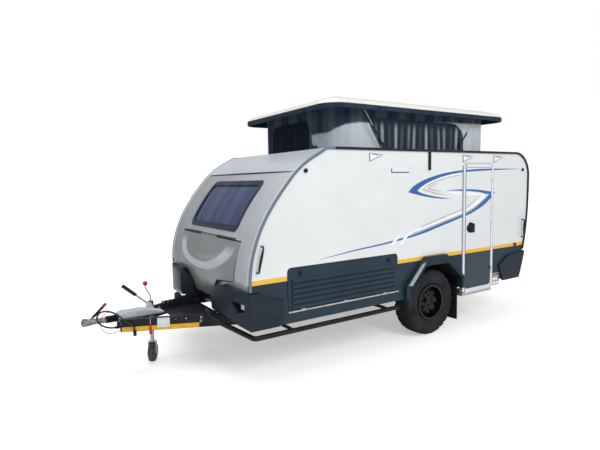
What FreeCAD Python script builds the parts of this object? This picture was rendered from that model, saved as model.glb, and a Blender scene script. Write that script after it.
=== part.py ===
import FreeCAD, Part
import math
import os
from types import SimpleNamespace
import Sketcher

# Pop-top caravan with a teardrop nose: one axle, an A-frame drawbar with an over-run
# coupling, an entry door at the rear of its left side and a canvas-walled roof that lifts.
# X runs from the hitch to the rear, the left (door) side is at negative Y, Z is up.
# Lengths along X are taken from the wheel centre; each sub-part is then moved by axle_x.

SIZES = {
    # whole vehicle
    "hitch_reach": 3615,
    "body_rear": 1834,
    "body_width": 2040,
    "roof_height": 2150,
    "sill_height": 514,
    "wall": 30,
    "seam_gap": 5,
    "overrun": 40,
    "edge_break": 3,
    # side outline
    "nose_reach": 2399,
    "nose_depth": 1000,
    "chin_height": 930,
    "chin_tuck": 70,
    "rear_radius": 300,
    "rear_bend_height": 1600,
    "rear_tuck": 214,
    "stripe_low": 919,
    "stripe_high": 964,
    # floor and chassis
    "floor_bottom": 560,
    "floor_thickness": 40,
    "rail_depth": 120,
    "rail_width": 50,
    "rail_half_gauge": 500,
    "chassis_setback": 149,
    "chassis_tail": 274,
    "cross_member": 50,
    # wheels
    "tyre_radius": 390,
    "tyre_width": 240,
    "bead_radius": 190,
    "flange_radius": 208,
    "flange_height": 14,
    "shoulder_drop": 16,
    "shoulder_inset": 20,
    "bulge_height": 95,
    "wheel_outer_plane": 973,
    "disc_recess": 78,
    "disc_thickness": 14,
    "rim_thickness": 8,
    "hub_radius": 56,
    "hub_cap_radius": 34,
    "hub_cap_height": 30,
    "bolt_circle_radius": 70,
    "nut_radius": 11,
    "nut_height": 20,
    "drum_radius": 140,
    "drum_depth": 75,
    "running_gap": 6,
    # axle
    "axle_tube": 80,
    "arm_length": 165,
    "arm_thickness": 26,
    "arm_depth": 90,
    "stub_radius": 30,
    "arm_clearance": 14,
    # wheel arch
    "arch_half": 435,
    "arch_shoulder": 640,
    "arch_top_half": 181,
    "arch_top": 852,
    "wheel_box_depth": 330,
    "wheel_box_wall": 12,
    "flare_front": 505,
    "flare_proud": 45,
    "flare_top": 955,
    "flare_top_half": 190,
    "flare_knee": 905,
    "flare_knee_half": 270,
    "flare_shoulder": 660,
    # entry door
    "door_front": 472,
    "door_rear": 1062,
    "door_headroom": 145,
    "door_bottom": 436,
    "door_band": 46,
    "door_corner": 45,
    "door_proud": 14,
    "door_thickness": 34,
    "door_cutaway": 605,
    # louvred hatch
    "hatch_setback": 394,
    "hatch_length": 1405,
    "hatch_low": 634,
    "hatch_high": 1036,
    "hatch_proud": 22,
    "hatch_corner": 45,
    "catch_radius": 17,
    "catch_zone": 92,
    "catch_inset": 140,
    "hinge_radius": 5,
    "hinge_leaf": 34,
    "hinge_length": 46,
    "fit_gap": 0.3,
    # rail below the hatch
    "sill_rail_height": 14,
    "sill_rail_proud": 16,
    # front window
    "window_half": 605,
    "window_headroom": 304,
    "window_height": 490,
    "window_band": 48,
    "window_corner": 70,
    "glass_thickness": 5,
    "blind_sheet": 6,
    "blind_gap": 2,
    # front locker lid
    "lid_half": 760,
    "lid_headroom": 860,
    "lid_top_gap": 12,
    "lid_hinge_half": 630,
    "lid_lip": 8,
    "lid_swell": 50,
    "lid_swell_height": 1030,
    "bowl_half": 570,
    "bowl_top": 1262,
    "bowl_low": 1030,
    "bowl_depth": 30,
    "lid_low": 662,
    "lid_side_low": 907,
    "lid_side_low_half": 720,
    "lid_hip": 878,
    "lid_hip_half": 400,
    "lid_waist": 800,
    "lid_waist_half": 318,
    "lid_foot_half": 286,
    # front corner mouldings
    "cheek_bulge": 116,
    "cheek_inner": 325,
    "cheek_inner_height": 795,
    "cheek_top": 866,
    "cheek_crest": 560,
    "cheek_corner_height": 850,
    "cheek_low": 515,
    "cheek_proud": 24,
    "cheek_side": 345,
    "cheek_side_height": 752,
    "cheek_heel": 60,
    "cheek_rail_clearance": 575,
    "cheek_round": 115,
    "lamp_inset": 9,
    "lamp_pocket": 12,
    "lamp_side": 925,
    "lamp_height": 742,
    "lamp_length": 56,
    "lamp_depth": 44,
    # rear corner mouldings
    "tail_proud": 24,
    "tail_front": 1200,
    "tail_top": 853,
    "tail_low": 492,
    "tail_wrap": 560,
    # roof seam and fixed roof
    "seam_setback": 505,
    "deck_margin": 45,
    # lifting roof
    "poptop_front": 1430,
    "poptop_rear": 1455,
    "poptop_half": 955,
    "rim_rise": 405,
    "rim_depth": 70,
    "crown_rise": 68,
    "crown_inset": 210,
    "seal_height": 40,
    "seal_proud": 7,
    "seal_drop": 6,
    "poptop_skin": 26,
    "poptop_corner": 220,
    "poptop_travel": 345,
    # canvas walls
    "canvas_front": 1200,
    "canvas_rear": 1205,
    "canvas_half": 820,
    "canvas_corner": 230,
    "canvas_wall": 10,
    "canvas_gap": 0.3,
    # roof struts
    "strut_radius": 9,
    "strut_front": 700,
    "strut_rear": 560,
    "strut_half": 892,
    "strut_front_run": 260,
    "strut_rear_run": 312,
    "strut_pivot_rise": 62,
    "strut_head_rise": 20,
    "strut_barrel_length": 225,
    "strut_rod_radius": 4,
    "strut_plate": 7,
    "strut_eye": 13,
    "strut_eye_half": 10,
    # drawbar
    "drawbar_bottom": 440,
    "drawbar_height": 120,
    "drawbar_wall": 50,
    "drawbar_tip_setback": 330,
    "drawbar_tip_half": 95,
    "drawbar_root_half": 545,
    "rail_hole_radius": 13,
    "rail_hole_setback": 115,
    "rail_hole_pitch": 85,
    # over-run coupling
    "coupling_height": 560,
    "coupling_neck": 215,
    "coupling_radius": 27,
    "ball_radius": 42,
    "socket_radius": 25.2,
    "socket_rim_drop": 26,
    "bellows_length": 110,
    "bellows_radius": 38,
    "bellows_groove": 9,
    "overrun_length": 430,
    "overrun_half": 62,
    "overrun_rise": 55,
    "overrun_slope": 200,
    "handle_setback": 60,
    "handle_length": 225,
    "handle_radius": 12,
    # hand brake
    "brake_pivot_setback": 642,
    "brake_pivot_height": 628,
    "brake_boss_radius": 20,
    "brake_plate": 6,
    "brake_plate_length": 110,
    "brake_lever_length": 325,
    "brake_lever_radius": 9,
    "brake_grip_length": 165,
    "brake_grip_radius": 17,
    # jockey wheel
    "jockey_setback": 687,
    "jockey_clamp_half": 32,
    "jockey_wheel_radius": 100,
    "jockey_wheel_width": 62,
    "jockey_tube_radius": 24,
    "jockey_leg_radius": 20,
    "jockey_tube_low": 320,
    "jockey_tube_high": 632,
    "jockey_collar_radius": 28,
    "jockey_collar_height": 66,
    "jockey_gap": 3,
    "jockey_leg_top": 405,
    "crank_rise": 191,
    "crank_offset": 45,
    "crank_bend": 25,
    "crank_radius": 5,
    "crank_knob_radius": 24,
    "fork_width": 80,
    "fork_plate": 5,
    # tray on the drawbar
    "tray_gap": 129,
    "tray_length": 430,
    "tray_height": 516,
    "tray_sheet": 4,
    "tray_wall": 90,
    "tray_hole_radius": 11,
    "tray_front_half": 200,
    "tray_rear_half": 260,
    "bearer_height": 16,
    "bearer_width": 40,
    # side slider bars
    "slider_radius": 24,
    "slider_half": 968,
    "slider_height": 420,
    "slider_corner_setback": 69,
    "slider_end": 545,
    "slider_root_gap": 278,
    "slider_elbow_height": 690,
    "slider_elbow_out": 105,
    "slider_elbow_fore": 55,
    "slider_dip": 540,
    "slider_bend": 42,
    # entry step and its side guard
    "step_front": 466,
    "step_rear": 1040,
    "step_top": 436,
    "step_depth": 34,
    "step_tread": 210,
    "guard_rear": 1240,
    "guard_low": 448,
    "guard_sheet": 4,
    "guard_hole_radius": 16,
    # mudflaps
    "flap_place": 402,
    "flap_thickness": 6,
    "flap_low": 123,
    "flap_high": 520,
    "flap_inner": 760,
    "flap_outer": 1012,
    # edge trims
    "trim_width": 26,
    "trim_proud": 14,
    "trim_over": 5,
    # grab handles, latches and the door's handle
    "grab_top": 1262,
    "grab_low": 1032,
    "grab_front_setback": 135,
    "grab_slant": 54,
    "grab_rear_setback": 126,
    "grab_proud": 42,
    "grab_radius": 8,
    "grab_bend": 18,
    "latch_drop": 224,
    "latch_front_setback": 617,
    "latch_rear_setback": 137,
    "latch_radius": 20,
    "latch_proud": 14,
    "clamp_place": 110,
    "clamp_half": 17,
    "clamp_top_drop": 24,
    "catch_rear_setback": 279,
    "pull_place": 609,
    "pull_height": 1237,
    "pull_half": 32,
    "pull_length": 112,
    "pull_plate": 8,
    "pull_proud": 32,
    "pull_radius": 7,
    # electric lead and breakaway cable
    "lead_radius": 8,
    "gland_radius": 11,
    "gland_length": 20,
    "holder_radius": 16,
    "holder_length": 46,
    "cable_radius": 3,
    "cable_inset": 33,
    "cord_loop": 200,
    "cable_eye": 12,
}

# Nose curve from the sill up to the roof, as shares of nose_depth and of the
# height between chin and roof; the curve is upright at the chin and level at the roof.
NOSE_SHARES = ((0.0, 0.0), (0.035, 0.205), (0.148, 0.436), (0.398, 0.718), (0.632, 0.893), (0.82, 0.978), (1.0, 1.0))
CHIN_SHARES = ((0.26, 0.5),)

# Counts, angles in degrees, and places as shares of a length
LOUVRE_COUNT = 6
NUT_COUNT = 6
NUT_SIDES = 6
RIM_WINDOW_COUNT = 8
BELLOWS_COUNT = 6
TRAY_HOLE_COUNT = 9
GUARD_COLUMNS = 5
GUARD_ROWS = 3
LID_ROWS = 22
LID_COLUMNS = 14
OUTRIGGERS = (2, 3, 4, 5)
HANDLE_LEAN = 47
BRAKE_LEAN = -48
CASTOR_TURN = 57
STRUT_ENDS = ("front", "rear")
CROSS_SHARES = (0.0, 0.22, 0.42, 0.78, 0.985)
DOOR_HINGE_SHARES = (0.12, 0.52, 0.86)
HATCH_HINGE_SHARES = (0.1, 0.46, 0.84)
LID_FOOT_SHARE = 0.3
PARALLEL_SHARE = 0.001
LEDGE_SHARE = 0.26
SLIDER_SHARES = (0.22, 0.9)
SLIDER_ARM_SHARES = (0.7, 0.8)
CRANK_SHARES = (0.3, 0.75)
COVER_SHARES = (0.8, 0.1)
PIN_SHARE = 0.1
BEND_SHARE = 0.45
LOUVRE_SHARES = {"start": 0.15, "lip": 0.15, "back": 0.95, "top": 0.45}
DISC_SHARE = 0.78
WINDOW_CIRCLE_SHARE = 0.76
NECK_SHARES = ((0.0, 0.0), (0.12, 0.55), (0.35, 0.9), (0.7, 1.0), (1.2, 0.86), (2.4, 0.64))
KNOB_SHARES = ((-1.0, 0.35), (-0.7, 0.75), (-0.1, 1.0), (0.5, 0.86), (0.9, 0.4))
ROLLER_SHARES = (0.8, 0.7)
# Points of the two cords as shares of cord_loop: behind the hitch, out to the left and above the coupling
LEAD_SHARES = (
    (1.285, 0.35, -0.355), (0.935, 0.385, -0.225), (0.675, 0.42, 0.01), (0.605, 0.435, 0.31), (0.775, 0.44, 0.52),
    (1.095, 0.445, 0.525), (1.425, 0.5, 0.36), (1.695, 0.64, 0.1), (1.985, 0.74, -0.175), (2.2, 0.764, -0.365),
)
CABLE_SHARES = (
    (1.45, 0.305, -0.585), (1.21, 0.295, -0.625), (0.985, 0.29, -0.54), (0.835, 0.285, -0.34), (0.77, 0.285, -0.085),
    (0.82, 0.285, 0.17), (0.975, 0.28, 0.37), (1.2, 0.27, 0.425), (1.42, 0.255, 0.33), (1.505, 0.25, 0.19),
)


class Length:
    """A size in millimetres that also carries its formula in the sheet's aliases."""

    def __init__(self, value, text):
        self.value = float(value)
        self.text = text

    def __float__(self):
        return self.value

    def __add__(self, other):
        return Length(self.value + float(other), f"({self.text} + {formula(other)})")

    def __radd__(self, other):
        return Length(float(other) + self.value, f"({formula(other)} + {self.text})")

    def __sub__(self, other):
        return Length(self.value - float(other), f"({self.text} - {formula(other)})")

    def __rsub__(self, other):
        return Length(float(other) - self.value, f"({formula(other)} - {self.text})")

    def __mul__(self, other):
        return Length(self.value * float(other), f"({self.text} * {formula(other)})")

    __rmul__ = __mul__

    def __truediv__(self, other):
        return Length(self.value / float(other), f"({self.text} / {formula(other)})")

    def __neg__(self):
        return Length(-self.value, f"(0 - {self.text})")


def root(size):
    """Square root of a product of lengths, kept as a formula."""
    return Length(math.sqrt(size.value), f"sqrt({size.text})")


def formula(size):
    return size.text if isinstance(size, Length) else repr(float(size))


document = FreeCAD.newDocument("poptop_caravan")
sheet = document.addObject("Spreadsheet::Sheet", "Sizes")
for row, (alias, number) in enumerate(SIZES.items(), start=1):
    sheet.set(f"A{row}", alias)
    sheet.set(f"B{row}", str(number))
    sheet.setAlias(f"B{row}", alias)
document.recompute()
s = SimpleNamespace(**{alias: Length(number, f"Sizes.{alias}") for alias, number in SIZES.items()})

X_AXIS = FreeCAD.Vector(1, 0, 0)
Y_AXIS = FreeCAD.Vector(0, 1, 0)
Z_AXIS = FreeCAD.Vector(0, 0, 1)
half_width = s.body_width / 2
inner_half = half_width - s.wall
axle_x = (s.hitch_reach - s.body_rear - s.trim_over) / 2
door_top = s.roof_height - s.door_headroom
window_high = s.roof_height - s.window_headroom
window_low = window_high - s.window_height
lid_high = s.roof_height - s.lid_headroom
seam_reach = s.nose_reach - s.seam_setback
chassis_front = s.nose_reach - s.chassis_setback
chassis_rear = s.body_rear - s.chassis_tail
hatch_front = s.nose_reach - s.hatch_setback
hatch_rear = hatch_front - s.hatch_length
cheek_reach = s.nose_reach + s.cheek_bulge
cheek_side_end = s.nose_reach - s.cheek_side
rim_low = s.roof_height + s.rim_rise
rim_high = rim_low + s.rim_depth
crown_height = rim_high + s.crown_rise
strut_pivot = s.roof_height + s.strut_pivot_rise
strut_rise = rim_low + s.strut_head_rise - strut_pivot
drawbar_high = s.drawbar_bottom + s.drawbar_height
drawbar_tip = s.hitch_reach - s.drawbar_tip_setback
coupling_rear = s.hitch_reach - s.coupling_neck
bellows_rear = coupling_rear - s.bellows_length
overrun_rear = bellows_rear - s.overrun_length
brake_pivot_reach = s.hitch_reach - s.brake_pivot_setback
jockey_reach = s.hitch_reach - s.jockey_setback
tray_rear = chassis_front + s.tray_gap
tray_front = tray_rear + s.tray_length
slider_corner = s.nose_reach - s.slider_corner_setback
slider_root = chassis_front + s.slider_root_gap
nodes = {}


def vector(x, y, z):
    return FreeCAD.Vector(float(x), float(y), float(z))


def bind(part, name, size):
    part.setExpression(name, formula(size))


def place(part, x, y, z, axis=Z_AXIS, angle=0):
    part.Placement = FreeCAD.Placement(vector(x, y, z), FreeCAD.Rotation(axis, angle))
    for letter, size in zip("xyz", (x, y, z)):
        bind(part, f"Placement.Base.{letter}", size)
    return part


def block(name, x, y, z):
    """A box between three pairs of planes."""
    part = document.addObject("Part::Box", name)
    bind(part, "Length", x[1] - x[0])
    bind(part, "Width", y[1] - y[0])
    bind(part, "Height", z[1] - z[0])
    return place(part, x[0], y[0], z[0])


def rod(name, start, radius, length, axis=Z_AXIS, angle=0):
    """A cylinder from a start point; the axis and angle turn it from upright."""
    part = document.addObject("Part::Cylinder", name)
    bind(part, "Radius", radius)
    bind(part, "Height", length)
    return place(part, *start, axis, angle)


def cut(name, base, *tools):
    part = document.addObject("Part::Cut", name)
    part.Base = base
    part.Tool = tools[0] if len(tools) == 1 else fuse(name + "_tools", *tools)
    return part


def fuse(name, *shapes):
    part = document.addObject("Part::MultiFuse", name)
    part.Shapes = list(shapes)
    return part


def common(name, *shapes):
    part = document.addObject("Part::MultiCommon", name)
    part.Shapes = list(shapes)
    return part


def mirrored(name, source):
    """The other side's copy, mirrored about the middle plane."""
    part = document.addObject("Part::Mirroring", name)
    part.Source = source
    part.Normal = Y_AXIS
    return part


def drawn(name, shape):
    """A shape drawn with curves that no primitive gives."""
    part = document.addObject("Part::Feature", name)
    part.Shape = shape
    return part


def origin_plane(body, role):
    return next(item for item in body.Origin.OriginFeatures if item.Role == role)


def sketch_outline(body, name, role, corners, offset):
    """A closed polygon on an origin plane, each corner tied to named sizes."""
    sketch = body.newObject("Sketcher::SketchObject", name)
    sketch.AttachmentSupport = (origin_plane(body, role), [""])
    sketch.MapMode = "FlatFace"
    bind(sketch, "AttachmentOffset.Base.z", offset)
    points = [FreeCAD.Vector(float(u), float(v), 0) for u, v in corners]
    count = len(points)
    for index, point in enumerate(points):
        sketch.addGeometry(Part.LineSegment(point, points[(index + 1) % count]), False)
    for index in range(count):
        sketch.addConstraint(Sketcher.Constraint("Coincident", index, 2, (index + 1) % count, 1))
    for index, corner in enumerate(corners):
        for kind, axis, size in zip(("DistanceX", "DistanceY"), (-2, -1), corner):
            if float(size) == 0:
                sketch.addConstraint(Sketcher.Constraint("PointOnObject", index, 1, axis))
                continue
            number = sketch.addConstraint(Sketcher.Constraint(kind, -1, 1, index, 1, float(size)))
            sketch.setExpression(f"Constraints[{number}]", formula(size))
    return sketch


def prism(name, role, corners, start, end):
    """A padded polygon between two planes; the side view is drawn as X and Z."""
    body = document.addObject("PartDesign::Body", name)
    offset = -end if role == "XZ_Plane" else start
    sketch = sketch_outline(body, name + "_outline", role, corners, offset)
    pad = body.newObject("PartDesign::Pad", name + "_pad")
    pad.Profile = sketch
    bind(pad, "Length", end - start)
    return body


def lathe(name, corners):
    """A profile turned about the Y axis, drawn as Y and radius."""
    body = document.addObject("PartDesign::Body", name)
    sketch = sketch_outline(body, name + "_profile", "YZ_Plane", corners, 0)
    turned = body.newObject("PartDesign::Revolution", name + "_turned")
    turned.Profile = sketch
    turned.ReferenceAxis = (sketch, ["H_Axis"])
    return body


def edges_along(shape, axis):
    """Names of the straight edges that run along an axis."""
    names = []
    for number, edge in enumerate(shape.Edges, start=1):
        if isinstance(edge.Curve, Part.Line) and edge.Curve.Direction.cross(axis).Length < PARALLEL_SHARE:
            names.append(f"Edge{number}")
    return names


def round_along(body, axis, radius):
    """Fillets every straight edge of a body that runs along an axis."""
    document.recompute()
    tip = body.Tip
    fillet = body.newObject("PartDesign::Fillet", body.Name + "_round")
    fillet.Base = (tip, edges_along(tip.Shape, axis))
    bind(fillet, "Radius", radius)
    return body


def tube(name, route, radius, bend):
    """A round bar along straight runs joined by tangent arcs."""
    points = [vector(*point) for point in route]
    edges = []
    start = points[0]
    for before, corner, after in zip(points, points[1:], points[2:]):
        into = (corner - before).normalize()
        away = (after - corner).normalize()
        turn = into.getAngle(away)
        reach = float(bend) * math.tan(turn / 2)
        first = corner - into * reach
        last = corner + away * reach
        middle = corner + (away - into).normalize() * float(bend) * (1 / math.cos(turn / 2) - 1)
        edges.append(Part.LineSegment(start, first).toShape())
        edges.append(Part.Arc(first, middle, last).toShape())
        start = last
    edges.append(Part.LineSegment(start, points[-1]).toShape())
    profile = Part.Wire(Part.makeCircle(float(radius), points[0], points[1] - points[0]))
    return drawn(name, Part.Wire(edges).makePipeShell([profile], True, False))


def node(name, part, x=axle_x, y=0, z=0, axis=Z_AXIS, angle=0):
    """Registers a finished sub-part and moves it to its place."""
    place(part, x, y, z, axis, angle)
    part.Label = name
    nodes[name] = part
    return part


# Body outline, seen from the side
def nose_curve(offset):
    """The smooth curve of the nose from the sill to the roof, moved outward by an offset."""
    top = float(s.roof_height)
    chin = float(s.chin_height)
    sill = float(s.sill_height)
    front = -float(s.nose_reach)
    points = [FreeCAD.Vector(front + float(s.chin_tuck), 0, sill)]
    for inward, rise in CHIN_SHARES:
        points.append(FreeCAD.Vector(front + inward * float(s.chin_tuck), 0, sill + rise * (chin - sill)))
    for inward, rise in NOSE_SHARES:
        points.append(FreeCAD.Vector(front + inward * float(s.nose_depth), 0, chin + rise * (top - chin)))
    curve = Part.BSplineCurve()
    curve.interpolate(Points=points, InitialTangent=FreeCAD.Vector(-0.3, 0, 1), FinalTangent=X_AXIS)
    grow = float(offset)
    moved = []
    for point in points:
        along = curve.tangent(curve.parameter(point))[0]
        moved.append(point + FreeCAD.Vector(-along.z, 0, along.x) * grow)
    moved[0].z = sill - grow
    curve.interpolate(Points=moved, InitialTangent=FreeCAD.Vector(-0.3, 0, 1), FinalTangent=X_AXIS)
    return curve


def side_outline(offset):
    """The closed side view, grown by an offset."""
    grow = float(offset)
    top = float(s.roof_height)
    sill = float(s.sill_height)
    nose = nose_curve(offset)
    rear = float(s.body_rear) + grow
    radius = float(s.rear_radius) + grow
    bend = float(s.rear_bend_height)
    centre = FreeCAD.Vector(rear - radius, 0, top + grow - radius)
    corner = centre + FreeCAD.Vector(math.sqrt(0.5), 0, math.sqrt(0.5)) * radius
    tuck = float(s.rear_tuck)
    fall = bend - sill
    sweep_radius = (tuck ** 2 + fall ** 2) / (2 * tuck)
    foot_angle = math.asin(fall / sweep_radius)
    sweep_centre = FreeCAD.Vector(float(s.body_rear) - sweep_radius, 0, bend)
    swept = []
    for angle in (foot_angle / 2, foot_angle):
        reach = sweep_radius + grow
        swept.append(sweep_centre + FreeCAD.Vector(math.cos(angle), 0, -math.sin(angle)) * reach)
    foot = FreeCAD.Vector(swept[1].x, 0, sill - grow)
    corners = [
        nose.toShape(),
        Part.makeLine(nose.EndPoint, centre + Z_AXIS * radius),
        Part.Arc(centre + Z_AXIS * radius, corner, centre + X_AXIS * radius).toShape(),
        Part.makeLine(centre + X_AXIS * radius, FreeCAD.Vector(rear, 0, bend)),
        Part.Arc(FreeCAD.Vector(rear, 0, bend), swept[0], swept[1]).toShape(),
    ]
    if swept[1].distanceToPoint(foot) > float(s.edge_break) / 100:
        corners.append(Part.makeLine(swept[1], foot))
    corners.append(Part.makeLine(foot, nose.StartPoint))
    return Part.Face(Part.Wire(corners))


def hull(name, offset, start, end):
    """The side outline, grown by an offset, between two planes across the body."""
    face = side_outline(offset)
    face.translate(FreeCAD.Vector(0, float(start), 0))
    return drawn(name, face.extrude(Y_AXIS * (float(end) - float(start))))


def arch_opening():
    return [
        (-s.arch_half, s.sill_height - s.overrun), (-s.arch_half, s.arch_shoulder),
        (-s.arch_top_half, s.arch_top), (s.arch_top_half, s.arch_top),
        (s.arch_half, s.arch_shoulder), (s.arch_half, s.sill_height - s.overrun),
    ]


def flare_outline():
    return [
        (-s.flare_front, s.sill_height), (-s.flare_front, s.flare_shoulder),
        (-s.flare_knee_half, s.flare_knee), (-s.flare_top_half, s.flare_top),
        (s.flare_top_half - s.overrun, s.flare_top), (s.flare_knee_half - s.overrun, s.flare_knee),
        (s.door_front, s.flare_shoulder), (s.door_front, s.sill_height),
    ]


def rectangle(u, v):
    return [(u[0], v[0]), (u[1], v[0]), (u[1], v[1]), (u[0], v[1])]


# Side walls: white sandwich panels above the stripe, slate skirts below it
def build_sides():
    far = s.nose_reach + s.overrun
    back = s.body_rear + s.overrun
    walls = []
    skirts = []
    for side, label in ((-1, "left"), (1, "right")):
        inner, outer = sorted((side * inner_half, side * half_width), key=float)
        across = (inner - s.overrun, outer + s.overrun)
        openings = [prism(f"flare_seat_{label}", "XZ_Plane", flare_outline(), *across)]
        if label == "left":
            door = rectangle((s.door_front, s.door_rear), (s.door_bottom, door_top))
            opening = prism("door_opening", "XZ_Plane", door, *across)
            openings.append(round_along(opening, Y_AXIS, s.door_corner))
            hatch = rectangle((-hatch_front, -hatch_rear), (s.hatch_low, s.hatch_high))
            opening = prism("hatch_opening", "XZ_Plane", hatch, *across)
            openings.append(round_along(opening, Y_AXIS, s.hatch_corner))
            openings.append(block("step_clearance", (s.door_front, s.tail_front + s.overrun), across,
                                  (s.sill_height - s.overrun, s.door_cutaway)))
        above = block(f"above_stripe_{label}", (-far, back), across, (s.stripe_low, s.roof_height + s.overrun))
        below = block(f"below_stripe_{label}", (-far, back), across, (s.sill_height - s.overrun, s.stripe_low))
        upper = common(f"wall_form_{label}", hull(f"wall_hull_{label}", 0, inner, outer), above)
        lower = common(f"skirt_form_{label}", hull(f"skirt_hull_{label}", 0, inner, outer), below)
        walls.append(cut(f"side_wall_{label}", upper, *openings))
        skirts.append(cut(f"skirt_{label}", lower, *openings))
    node("side_walls", fuse("side_walls", *walls))
    node("skirts", fuse("skirts", *skirts))


# Shell between the side walls: nose, fixed roof with its opening, rear wall and floor
def shell_ring(name):
    skin = hull(name + "_outer", 0, -inner_half, inner_half)
    hollow = hull(name + "_inner", -s.wall, -inner_half - s.overrun, inner_half + s.overrun)
    ring = cut(name + "_ring", skin, hollow)
    return ring


def curved_prism(name, plane, corners, start, end):
    """A solid between two planes; a corner with a third value is the middle point of an arc."""
    axis, place_at = {
        "XY": (Z_AXIS, lambda u, v: vector(u, v, 0)),
        "YZ": (X_AXIS, lambda u, v: vector(0, u, v)),
        "XZ": (Y_AXIS, lambda u, v: vector(u, 0, v)),
    }[plane]
    points = [place_at(*corner[:2]) for corner in corners]
    count = len(corners)
    edges = []
    index = 0
    while index < count:
        after = (index + 1) % count
        if len(corners[after]) > 2:
            edges.append(Part.Arc(points[index], points[after], points[(index + 2) % count]).toShape())
            index += 2
        else:
            edges.append(Part.makeLine(points[index], points[after]))
            index += 1
    face = Part.Face(Part.Wire(edges))
    face.translate(axis * float(start))
    return drawn(name, face.extrude(axis * (float(end) - float(start))))


def window_region(name, half, low, high, corner):
    outline = rectangle((-half, half), (low, high))
    region = prism(name, "YZ_Plane", outline, -s.nose_reach - s.overrun, -seam_reach + s.overrun)
    return round_along(region, X_AXIS, corner)


def lid_outline(gap, top_gap):
    right = [
        (s.lid_half - gap, lid_high - top_gap), (s.lid_side_low_half - gap, s.lid_side_low + gap),
        (s.lid_hip_half - gap, s.lid_hip + gap), (s.lid_waist_half - gap, s.lid_waist),
        (s.lid_foot_half - gap, s.lid_low + gap),
    ]
    left = [(-y, z) for y, z in reversed(right)]
    return right + left


def build_shell():
    reach = s.nose_reach + s.overrun
    band = (-inner_half - s.overrun, inner_half + s.overrun)
    floor_top = s.floor_bottom + s.floor_thickness
    nose = common("nose_form", shell_ring("nose"),
                  block("nose_zone", (-reach, -seam_reach), band, (s.floor_bottom, s.roof_height)))
    window = window_region("window_hole", s.window_half, window_low, window_high, s.window_corner)
    lid = prism("lid_hole", "YZ_Plane", lid_outline(0, 0), -reach, -seam_reach)
    node("nose_shell", cut("nose_shell", nose, window, lid))
    roof = common("roof_form", shell_ring("roof"),
                  block("roof_zone", (-seam_reach, s.body_rear - s.rear_radius), band,
                        (s.stripe_high, s.roof_height + s.overrun)))
    opening = block("roof_hole", (-s.canvas_front + s.deck_margin, s.canvas_rear - s.deck_margin),
                    (-s.canvas_half + s.deck_margin, s.canvas_half - s.deck_margin),
                    (s.roof_height - s.wall - s.overrun, s.roof_height + s.overrun))
    node("fixed_roof", cut("fixed_roof", roof, opening))
    rear = block("rear_zone", (s.body_rear - s.rear_radius, s.body_rear + s.overrun), band,
                 (floor_top, s.roof_height + s.overrun))
    node("rear_wall", common("rear_wall", shell_ring("rear"), rear))
    slab = common("floor_form", hull("floor_hull", -s.seam_gap, -inner_half, inner_half),
                  block("floor_zone", (-reach, s.body_rear + s.overrun), band, (s.floor_bottom, floor_top)))
    wells = []
    for side, label in ((-1, "left"), (1, "right")):
        well = sorted((side * (inner_half - s.wheel_box_depth), side * (inner_half + s.overrun)), key=float)
        wells.append(block(f"wheel_well_{label}", (-s.arch_half - s.wheel_box_wall, s.arch_half + s.wheel_box_wall),
                           well, (s.floor_bottom - s.overrun, floor_top + s.overrun)))
    chin = hull("apron_inner", -s.wall, -inner_half - s.overrun, inner_half + s.overrun)
    node("floor", cut("floor", common("floor_inside", slab, chin), *wells))


def build_wheel_boxes():
    """Inner arches over the wheels, open below and outward."""
    grow = s.wheel_box_wall
    outer = [
        (-s.arch_half - grow, s.sill_height), (-s.arch_half - grow, s.arch_shoulder + grow),
        (-s.arch_top_half - grow, s.arch_top + grow), (s.arch_top_half + grow, s.arch_top + grow),
        (s.arch_half + grow, s.arch_shoulder + grow), (s.arch_half + grow, s.sill_height),
    ]
    inside = inner_half - s.wheel_box_depth
    skin = prism("wheel_box_skin", "XZ_Plane", outer, -inner_half, -inside)
    hollow = prism("wheel_box_hollow", "XZ_Plane", arch_opening(), -inner_half - s.overrun, -inside - grow)
    left = cut("wheel_box_left", skin, hollow)
    node("wheel_boxes", fuse("wheel_boxes", left, mirrored("wheel_box_right", left)))


def build_flares():
    solid = prism("flare_solid", "XZ_Plane", flare_outline(), -half_width - s.flare_proud, -inner_half)
    hole = prism("flare_hole", "XZ_Plane", arch_opening(), -half_width - s.flare_proud - s.overrun,
                 -inner_half + s.overrun)
    left = cut("flare_left", solid, hole)
    node("arch_flares", fuse("arch_flares", left, mirrored("flare_right", left)))


def build_trims():
    """Edge strips that follow the nose, roof and rear edge of the side walls."""
    near = -half_width - s.trim_proud
    outer = hull("trim_outer", s.trim_over, near, -half_width)
    inner = hull("trim_inner", s.trim_over - s.trim_width, near - s.overrun, -half_width + s.overrun)
    zone = block("trim_zone", (-s.nose_reach - s.overrun, s.body_rear + s.overrun),
                 (near - s.overrun, -half_width + s.overrun), (s.cheek_top, s.roof_height + s.overrun))
    left = common("trim_left", cut("trim_ring", outer, inner), zone)
    node("edge_trims", fuse("edge_trims", left, mirrored("trim_right", left)))


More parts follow.
